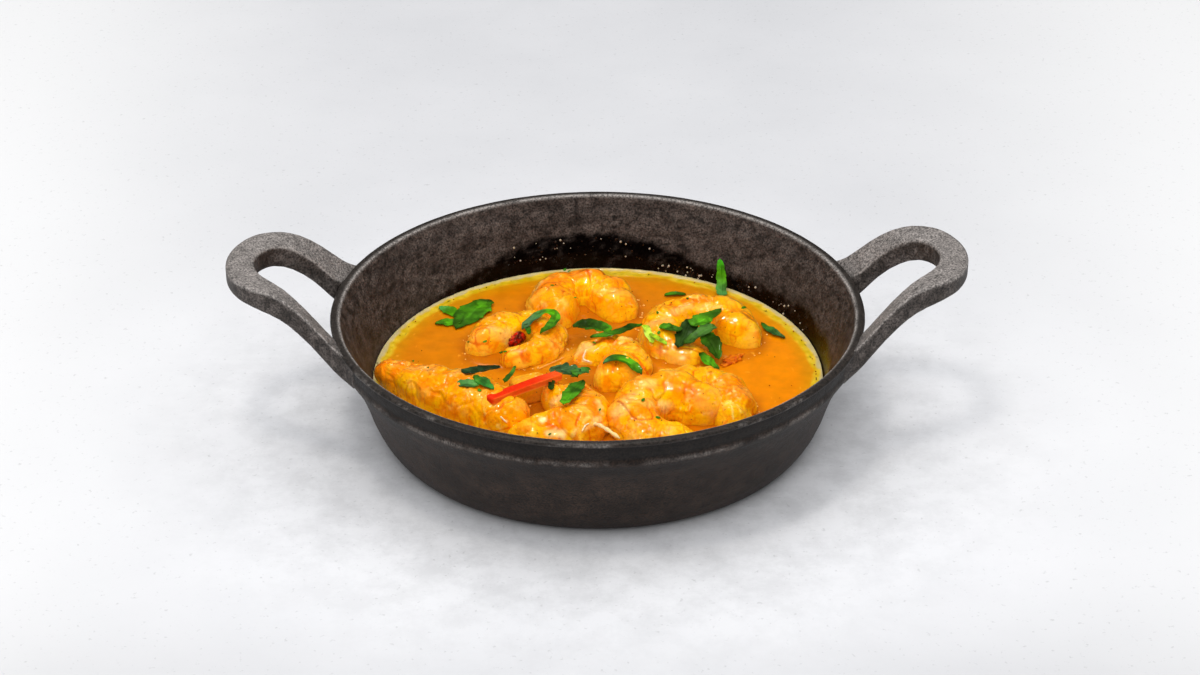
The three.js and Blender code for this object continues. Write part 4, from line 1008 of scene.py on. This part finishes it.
def leaf_lobe(path, half, greens, across=None, teeth=4, tooth=0.1, curl=0.4, thick=0.22, seed=0):
    """One lobe: the path is a spline, the half width another, and saw teeth and noise notch the margin on each side
    by itself. Across the lobe the edges lift by curl times v squared. Never lower than what it lies on."""
    steps, wide = 72, 25
    t = np.linspace(0, 1, steps)
    centre = spline(path, t)
    forward = np.gradient(centre, axis=0)
    forward /= np.linalg.norm(forward, axis=1)[:, None]
    if across is None:
        side = np.stack([-forward[:, 1], forward[:, 0], 0 * t], -1)
    else:
        side = np.broadcast_to(np.array(across, float), forward.shape)
    side = side / np.linalg.norm(side, axis=1)[:, None]
    up = np.cross(forward, side)
    up *= np.sign(up[:, 2] + 1e-6)[:, None] if across is None else 1
    v = np.linspace(-1, 1, wide)
    saw = (t[:, None] * teeth + np.where(v < 0, 0.4, 0)) % 1.0
    places = np.linspace(0, 1, 7)
    nicks = np.random.default_rng(seed).uniform(0.74, 1.12, (2, 7))
    torn = np.where(v < 0, np.interp(t, places, nicks[0])[:, None], np.interp(t, places, nicks[1])[:, None])
    reach = spline(half, t)[:, None] * (1 - tooth + 2 * tooth * (1 - saw) ** 0.7 * np.minimum(1, saw * 8)) * torn
    reach = reach * np.minimum(1, np.minimum(t, 1 - t) * 14 + 0.06)[:, None]
    grid = centre[:, None, :] + (reach * v)[..., None] * side[:, None, :]
    creases = 0.5 - np.minimum(1, 2.2 * np.abs(noise(grid, 4.5, seed + 1)))
    wave = 0.4 * noise(grid, 4, seed) + 0.35 * creases + curl * v ** 2 - 0.3 * np.exp(-(v / 0.12) ** 2)
    grid = grid + wave[..., None] * up[:, None, :]
    if across is None:
        low = rest_height(grid) + 0.35
        grid[..., 2] = np.maximum(grid[..., 2], low)
    lower = grid - up[:, None, :] * thick * 0.5
    upper = grid + up[:, None, :] * thick * 0.5
    ring = np.concatenate([upper, lower[:, ::-1]], axis=1)
    points, quads, fans = closed_skin(ring, ring[0].mean(0), ring[-1].mean(0))
    shades = spline(np.array([linear(g) for g in greens]), t)[:, None, :] + 0 * v[None, :, None]
    mottled = blend(shades * 1.2, shades * 0.45, smooth_step(-0.2, 0.5, layered(grid, 3.0, seed + 3)))
    # painted shade along the leaf's folds
    mottled = blend(mottled, shades * 0.4, smooth_step(-0.1, 0.4, creases) * 0.6)
    veins = np.exp(-(v[None, :] / 0.06) ** 2) + 0.6 * np.exp(-((((t[:, None] * 5 - np.abs(v) * 0.9) % 1) - 0.5) / 0.07) ** 2)
    coloured = np.clip(blend(mottled, mottled * 1.5 + 0.006, veins * 0.45), 0, 1)
    # the underside is the upper colour darkened, as painted shade
    tint = np.concatenate([coloured, coloured[:, ::-1] * 0.8], axis=1).reshape(-1, 3)
    return points, quads, fans, np.concatenate([tint, tint[:1], tint[-1:]])


DARK, MID, BRIGHT, BLUE, PALE = "#254408", "#38700c", "#4c9408", "#42603a", "#a8c820"
LEAVES = {
    "leaf_afloat_left": [
        dict(path=[(-55.2, 35.4, 19.9), (-51.2, 44.6, 20.0), (-46.8, 52, 20.3), (-42.3, 58.4, 20.1)],
             half=[1.6, 5.2, 5.6, 3.4], greens=[DARK, MID, BRIGHT, DARK]),
        dict(path=[(-52.4, 43.6, 19.9), (-58.2, 50.2, 19.9), (-62.4, 53.4, 19.9)], half=[1.2, 2.6, 0.8],
             greens=[MID, BRIGHT, "#489048"]),
        dict(path=[(-52.8, 41.6, 19.9), (-58.6, 40.6, 19.9), (-63.4, 39.6, 19.9)], half=[1.2, 2.7, 1.0],
             greens=[MID, BRIGHT, MID])],
    "leaf_afloat_right": [dict(path=[(64.6, 38.0, 19.9), (68.3, 30.6, 20.0), (73.0, 25.0, 19.9)],
                               half=[0.8, 2.2, 0.6], greens=[MID, "#38702c", BLUE])],
    "leaf_sliver": [dict(path=[(27.4, 61.2, 19.9), (31.7, 62.2, 19.9), (36.0, 62.4, 19.9)], half=[0.7, 1.5, 0.6],
                         greens=[MID, MID, MID])],
    "leaf_at_wall": [dict(path=[(50.4, 60.4, 20.0), (50.3, 66.4, 25.6), (50.0, 72.0, 31.0)], half=[2.4, 2.3, 0.9],
                          across=(1, -0.2, 0), greens=["#4e9450", BRIGHT, "#37a81e"])],
    "leaf_loop": [
        dict(path=[(-28.9, 22.0, 26.8), (-24.0, 27.8, 29.2), (-19.2, 29.6, 30.6), (-15.8, 25.2, 30.6),
                   (-17.6, 19.2, 29.8), (-21.9, 14.4, 29.2)], half=[2.0, 2.2, 1.9, 1.9, 2.0, 1.3], tooth=0.05,
             greens=[BLUE, "#3f6a3a", BRIGHT, BRIGHT, MID, BRIGHT]),
        dict(path=[(-27.6, 24.4, 27.4), (-26.6, 21.6, 26.9), (-26.2, 18.2, 26.6)], half=[1.4, 1.2, 0.6],
             greens=[BLUE, MID, MID])],
    "leaf_pair_left": [dict(path=[(-9.4, 24.4, 26.8), (-3.9, 22.6, 28.2), (1.2, 19.0, 29.0), (5.0, 14.2, 29.6)],
                            half=[2.6, 4.0, 4.0, 1.6], greens=[DARK, DARK, MID, BRIGHT])],
    "leaf_pair_right": [dict(path=[(-2.6, 11.2, 28.6), (4.0, 11.0, 30.2), (10.6, 15.8, 29.8), (17.4, 22.6, 28.2)],
                             half=[1.0, 2.0, 2.4, 0.8], greens=[MID, MID, DARK, MID])],
    "leaf_crescent": [dict(path=[(1.8, -10.6, 29.8), (6.7, -8.6, 30.6), (11.6, -10.0, 29.7), (16.2, -14.4, 27.0)],
                           half=[0.9, 2.3, 2.5, 1.2], tooth=0.04, greens=["#407040", MID, BRIGHT, DARK])],
    "leaf_cluster_left": [dict(path=[(24.2, 20.2, 28.8), (27.8, 17.8, 29.2), (32.0, 14.0, 29.4)],
                               half=[2.0, 2.6, 2.0], greens=[BRIGHT, MID, DARK])],
    "leaf_cluster_dark": [dict(path=[(36.2, 24.0, 29.8), (34.2, 16.0, 28.4), (30.6, 8.4, 25.4)],
                               half=[1.2, 4.2, 1.4], greens=["#1c340e", "#243f14", "#1c340e"])],
    "leaf_cluster_bright": [dict(path=[(36.0, 18.0, 30.0), (41.4, 21.4, 31.0), (48.2, 27.6, 31.4)],
                                 half=[3.4, 3.6, 0.9], greens=[MID, BRIGHT, DARK])],
    "leaf_cluster_veined": [dict(path=[(45.0, 17.0, 30.6), (39.6, 12.8, 29.6), (32.8, 8.0, 27.2)],
                                 half=[3.2, 3.2, 1.0], greens=["#44702c", "#3c6424", DARK])],
    "leaf_cluster_right": [dict(path=[(41.2, 12.6, 29.0), (44.0, 8.8, 26.4), (46.2, 4.4, 22.6)],
                                half=[3.4, 3.6, 1.4], greens=[MID, DARK, MID])],
    "leaf_cluster_low": [dict(path=[(38.6, 5.4, 24.8), (42.2, 2.6, 22.4), (46.0, -0.4, 20.6)],
                              half=[1.4, 2.4, 1.2], greens=[DARK, BRIGHT, DARK])],
    "leaf_stem": [
        dict(path=[(18.2, 22.4, 27.8), (20.2, 15.4, 27.2), (21.0, 11.8, 25.8)], half=[1.5, 1.7, 1.0], tooth=0,
             greens=[PALE, "#b9d24a", PALE]),
        dict(path=[(20.0, 16.0, 27.4), (23.2, 12.4, 27.2), (26.4, 9.6, 26.4)], half=[1.0, 1.3, 0.9], tooth=0,
             greens=[PALE, PALE, "#8fb82a"])],
    "leaf_dark_left": [dict(path=[(-50.4, -26.4, 35.2), (-43.6, -22.4, 34.4), (-36.8, -15.4, 31.4)],
                            half=[2.2, 2.9, 1.4], greens=["#2c4a2c", "#223820", "#151f12"])],
    "leaf_pale_left": [dict(path=[(-51.8, -32.4, 34.2), (-47.1, -34.2, 35.0), (-43.2, -34.4, 35.4)],
                            half=[1.2, 3.0, 1.4], greens=["#47843c", "#47843c", MID])],
    "leaf_bright_left": [dict(path=[(-45.9, -29.6, 35.6), (-42.2, -33.6, 35.6), (-38.4, -38.0, 34.4)],
                              half=[1.2, 2.6, 0.9], greens=[MID, "#2f7a28", "#2f7a28"])],
    "leaf_sprig": [dict(path=[(-34.6, -30.6, 33.4), (-32.3, -25.4, 33.6), (-30.7, -19.6, 33.8)],
                        half=[1.1, 0.9, 0.5], greens=[MID, "#4a7a24", "#4a7a24"])],
    "leaf_jagged": [
        dict(path=[(-17.6, -13.4, 29.6), (-12.4, -17.4, 31.2), (-7.6, -23.6, 31.6)], half=[2.4, 4.2, 1.8],
             tooth=0.3, teeth=4, greens=[BLUE, "#3a5c36", DARK]),
        dict(path=[(-9.6, -21.8, 31.6), (-6.2, -19.4, 31.6), (-3.4, -16.8, 31.2)], half=[2.0, 2.5, 0.9],
             tooth=0.3, teeth=3, greens=[MID, "#3a6e30", MID])],
    "leaf_low": [dict(path=[(-5.6, -28.6, 32.6), (-8.8, -34.8, 32.6), (-13.2, -46.4, 33.0)],
                      half=[1.0, 3.4, 1.6], greens=[DARK, MID, BRIGHT])],
    "leaf_chip": [dict(path=[(-17.4, -25.4, 31.0), (-17.5, -28.4, 31.0), (-17.6, -31.4, 30.8)],
                       half=[1.3, 1.3, 1.0], greens=[DARK, "#1c340e", DARK])],
}

for number, (name, lobes) in enumerate(LEAVES.items()):
    shells = [leaf_lobe(seed=700 + 10 * number + k, **lobe) for k, lobe in enumerate(lobes)]
    make_piece(name + "_torn", shells, leaf_skin, [name])

# %% [markdown]
# Garlic and dried chilli lie in the sauce as soft lumps. An oval with noise along its directions gives each of
# them. The fresh chilli is a strip cut from the wall of a pod: a slab with rounded corners carried along a line
# that bends a little, bright on its skin side and paler where it was cut.

# %% Garlic and chilli


def lump(middle, half, turn, colours, bump, seed, oval=1.0, steps=40):
    """An oval with half sizes, turned about the upright, its radius uneven by noise. Two colours mix by noise. A
    direction's parts raised to the power oval draw the form towards a block, 1 leaving it an oval."""
    up = np.linspace(0, np.pi, steps + 2)[1:-1, None]
    around = np.linspace(0, 2 * np.pi, 2 * steps, endpoint=False)
    ball = np.stack([np.sin(up) * np.cos(around), np.sin(up) * np.sin(around), np.cos(up) + 0 * around], -1)
    size = np.array(half, float)
    radius = 1 + bump * layered(ball * size, min(half) * 0.9, seed)
    local = np.sign(ball) * np.abs(ball) ** oval * size * radius[..., None]
    c, s = np.cos(np.radians(turn)), np.sin(np.radians(turn))
    rings = local @ np.array([[c, s, 0], [-s, c, 0], [0, 0, 1]]) + np.array(middle, float)
    points, quads, fans = closed_skin(rings, rings[0].mean(0), rings[-1].mean(0))
    tint = blend(linear(colours[0]), linear(colours[1]), smooth_step(-0.3, 0.4, layered(points, min(half) * 0.8, seed + 3)))
    # spots of the third colour; on the dried chilli curl these pale spots are painted highlights
    dots = smooth_step(0.55, 0.8, noise(points, 0.9, seed + 5))
    return points, quads, fans, blend(tint, linear(colours[2]), dots * 0.8)


make_piece("garlic_lump", [lump((-25.6, -16.8, 22.8), (7.2, 5.8, 4.4), 22, ["#e4961e", "#f2aa0e", "#ffd880"], 0.06, 31, 0.5)],
           garlic_flesh, ["garlic_slice"])
# its pale spots are painted highlights
make_piece("dried_chilli_curl", [lump((-31, 18.8, 24.2), (2.5, 4.8, 1.7), -28, ["#4c0803", "#c41c06", "#e0604a"], 0.5, 32)],
           chilli_skin, ["chilli_curl"])
make_piece("dried_chilli_flake", [lump((51.5, 9.0, 19.7), (5.4, 2.5, 1.2), 42, ["#c0500a", "#e0780c", "#7a2c06"], 0.5, 33)],
           chilli_skin, ["chilli_flake"])


def chilli_strip(start, end, width, height):
    """The slab: at each station its section spans the width and the height, its line bends down by a low arch."""
    start, end = np.array(start, float), np.array(end, float)
    t = np.linspace(0, 1, 90)[:, None]
    run = end - start
    side = np.array([-run[1], run[0], 0]) / np.hypot(run[0], run[1])
    upward = np.cross(run, side) / np.linalg.norm(run)
    across, up, face_x, face_z = rounded_section().T
    taper = np.minimum(1, 0.55 + np.minimum(t, 1 - t) * 30)
    u = (across * (width / 2 - 0.35) + face_x * 0.35) * taper * (0.95 + 0.05 * np.sin(11 * t))
    v = (up * (height / 2 - 0.35) + face_z * 0.35) * taper
    line = start + run * t + upward * (0.35 * np.sin(np.pi * t) - 0.2)
    rings = line[:, None, :] + u[..., None] * side + v[..., None] * upward
    points, quads, fans = closed_skin(rings, rings[0].mean(0), rings[-1].mean(0))
    shade = blend(linear("#e22c06"), linear("#f4551c"), smooth_step(0.55, 1.0, t) * np.ones(u.shape))
    cut = smooth_step(-0.35, -0.8, v / (height / 2)) + smooth_step(0.75, 1.0, np.abs(u) / (width / 2)) * 0.35
    shade = blend(shade, linear("#f58a2c"), np.clip(cut, 0, 1))
    return points, quads, fans, np.concatenate([shade.reshape(-1, 3), shade[0, :1], shade[-1, :1]])


make_piece("fresh_chilli_strip", [chilli_strip((-39.9, -43.6, 33.6), (-14.4, -20.2, 30.6), 4.3, 2.7)],
           chilli_skin, ["chilli_strip"])

# %% [markdown]
# The smallest things bring the dish to life: a torn stalk, threads of flesh, crumbs of herb and pepper, and
# bubbles of oil on the wall and in the froth. Threads are thin tubes on a line. The others are one small form
# each, copied to many places as real points: places are worked out from a seeded draw, and every copy is added to
# the form by array arithmetic.

# %% Crumbs, threads and bubbles
draw = np.random.default_rng(20)


def thread(path, radius, colour, sides=10, steps=40):
    """A tube along a spline, thinner towards both ends."""
    t = np.linspace(0, 1, steps)
    centre = spline(path, t)
    forward = np.gradient(centre, axis=0)
    side = np.cross(forward, [0, 0, 1])
    side /= np.linalg.norm(side, axis=1)[:, None]
    up = np.cross(side, forward)
    up /= np.linalg.norm(up, axis=1)[:, None]
    angle = np.linspace(0, 2 * np.pi, sides, endpoint=False)
    size = (radius * np.minimum(1, 0.35 + np.minimum(t, 1 - t) * 5) * (1 + 0.2 * np.sin(23 * t)))[:, None, None]
    rings = centre[:, None, :] + size * (np.cos(angle)[:, None] * side[:, None, :] + np.sin(angle)[:, None] * up[:, None, :])
    points, quads, fans = closed_skin(rings, rings[0].mean(0), rings[-1].mean(0))
    return points, quads, fans, linear(colour)


THREADS = [
    ([(-2.4, -50, 27.2), (0.2, -53.6, 28.4), (3.2, -57.6, 28.6), (7, -62, 28)], 0.75, "#f8d694"),
    ([(-38.4, -44.1, 31.0), (-36.1, -46.6, 28.9), (-33.6, -48.3, 27.0)], 0.28, "#ffe0b0"),
    ([(-4.5, 7.6, 25.4), (-5.4, 5.9, 22.6), (-2.8, 4.6, 21.9)], 0.32, "#ffe2be"),
    ([(-1.6, 6.0, 25.6), (1.2, 7.0, 27.2)], 0.22, "#fbdcae"),
    ([(57.2, 18.6, 19.9), (60.2, 20.6, 20.3), (63.6, 20.8, 19.9)], 0.35, "#fbd8b0"),
    ([(-22.6, 3.2, 19.9), (-18.0, 6.4, 20.4), (-12.6, 11.6, 20.2)], 0.25, "#f0a850"),
    ([(-2.6, -50.4, 28.0), (-5.0, -52.6, 28.0), (-6.4, -55.4, 27.2)], 0.3, "#fbd8a8"),
]
make_piece("threads", [thread(*each) for each in THREADS], flesh)


def scattered(places, sizes, turns, flat, colours, rings=4, sides=7, uneven=0.25):
    """One small oval lump per place: a unit form, scaled, turned about the upright and moved, all at once."""
    up = np.linspace(0, np.pi, rings + 2)[:, None]
    around = np.linspace(0, 2 * np.pi, sides, endpoint=False)
    ball = np.stack([np.sin(up) * np.cos(around), np.sin(up) * np.sin(around), np.cos(up) + 0 * around], -1)
    ball = ball[1:-1].reshape(-1, 3)
    form, quads, fans = closed_skin(ball.reshape(rings, sides, 3), [0, 0, 1], [0, 0, -1])
    form = form[None] * (1 + uneven * draw.uniform(-1, 1, (len(places), len(form), 1)))
    form = form * sizes[:, None, None] * np.array(flat)
    c, s = np.cos(turns)[:, None], np.sin(turns)[:, None]
    x, y, z = form[..., 0], form[..., 1], form[..., 2]
    form = np.stack([x * c - y * s, x * s + y * c, z], -1) + np.asarray(places)[:, None, :]
    step = np.arange(len(places))[:, None, None] * form.shape[1]
    return (form.reshape(-1, 3), (quads[None] + step).reshape(-1, 4), (fans[None] + step).reshape(-1, 3),
            np.repeat(colours, form.shape[1], axis=0))


def on_the_food(count, low, high):
    """Places drawn over the food, set on whatever is uppermost there."""
    turn, reach = draw.uniform(0, 2 * np.pi, count), 74 * np.sqrt(draw.uniform(0, 1, count))
    places = np.stack([reach * np.cos(turn), reach * np.sin(turn), np.zeros(count)], -1)
    places[:, 2] = rest_height(places) + 0.25
    keep = (places[:, 2] > low) & (places[:, 2] < high)
    return places[keep]


herbs = np.concatenate([[(-1.2, -38.6, 31.0), (0.2, -44.2, 29.6), (7.4, 15.6, 28.3), (-12.4, 66.6, 29.4), (-10.6, 65.4, 29.4)],
                        on_the_food(60, 21, 40)[:22]])
greens = np.array([linear(c) for c in ("#2f7010", "#24560e", "#4a8a1c")])
make_piece("herb_crumbs", [scattered(herbs, draw.uniform(0.45, 0.95, len(herbs)), draw.uniform(0, 6.3, len(herbs)),
                                     (1.3, 0.7, 0.35), greens[draw.integers(0, 3, len(herbs))])], leaf_skin)
pepper = on_the_food(220, 19, 40)[:110]
turn = np.radians(draw.uniform(0, 360, 46))
rim = np.stack([82.6 * np.cos(turn), 82.6 * np.sin(turn), np.full(46, 20.0)], -1) * (1, 1, 1)
pepper = np.concatenate([pepper, rim])
browns = np.array([linear(c) for c in ("#3a2008", "#5a2c08", "#a03c0a")])
make_piece("pepper_specks", [scattered(pepper, draw.uniform(0.16, 0.34, len(pepper)), draw.uniform(0, 6.3, len(pepper)),
                                       (1, 0.8, 0.6), browns[draw.integers(0, 3, len(pepper))])], chilli_skin)


def on_the_wall(count, first, last, low, high):
    """Places on the inside of the wall between two azimuths in degrees and two heights."""
    turn, height = np.radians(draw.uniform(first, last, count)), draw.uniform(low, high, count)
    reach = np.interp(height, *np.array(INSIDE[::-1])[2:].T[::-1]) - 0.05
    return np.stack([reach * np.cos(turn), reach * np.sin(turn), height], -1)


bubbles = np.concatenate([on_the_wall(70, 74, 112, 24, 32), on_the_wall(60, 18, 58, 20.5, 26), on_the_wall(40, 60, 74, 20.5, 24)])
sizes = draw.uniform(0.18, 0.5, len(bubbles)) ** 1.0
drop = np.repeat(linear("#1a120a")[None], len(bubbles), axis=0)
# painted highlights: about a third of the bubbles are pale grey glints on the black film
pale = draw.uniform(0, 1, len(bubbles)) < 0.3
drop[pale] = linear("#a89a86")
make_piece("oil_bubbles", [scattered(bubbles, sizes, 0 * sizes, (1, 1, 1), drop, rings=6, sides=10, uneven=0.02)],
           chilli_skin)
near = on_the_food(2600, 18, 20.2)
gap = waterline_distance(near[:, 0], near[:, 1])
near = near[(gap > 0.2) & (gap < 2.4)][:150]
make_piece("sauce_bubbles", [scattered(near, draw.uniform(0.2, 0.5, len(near)), 0 * near[:, 0], (1, 1, 0.5),
                                       np.repeat(linear("#f6b95c")[None], len(near), axis=0), rings=6, sides=10,
                                       uneven=0.02)], chilli_skin)
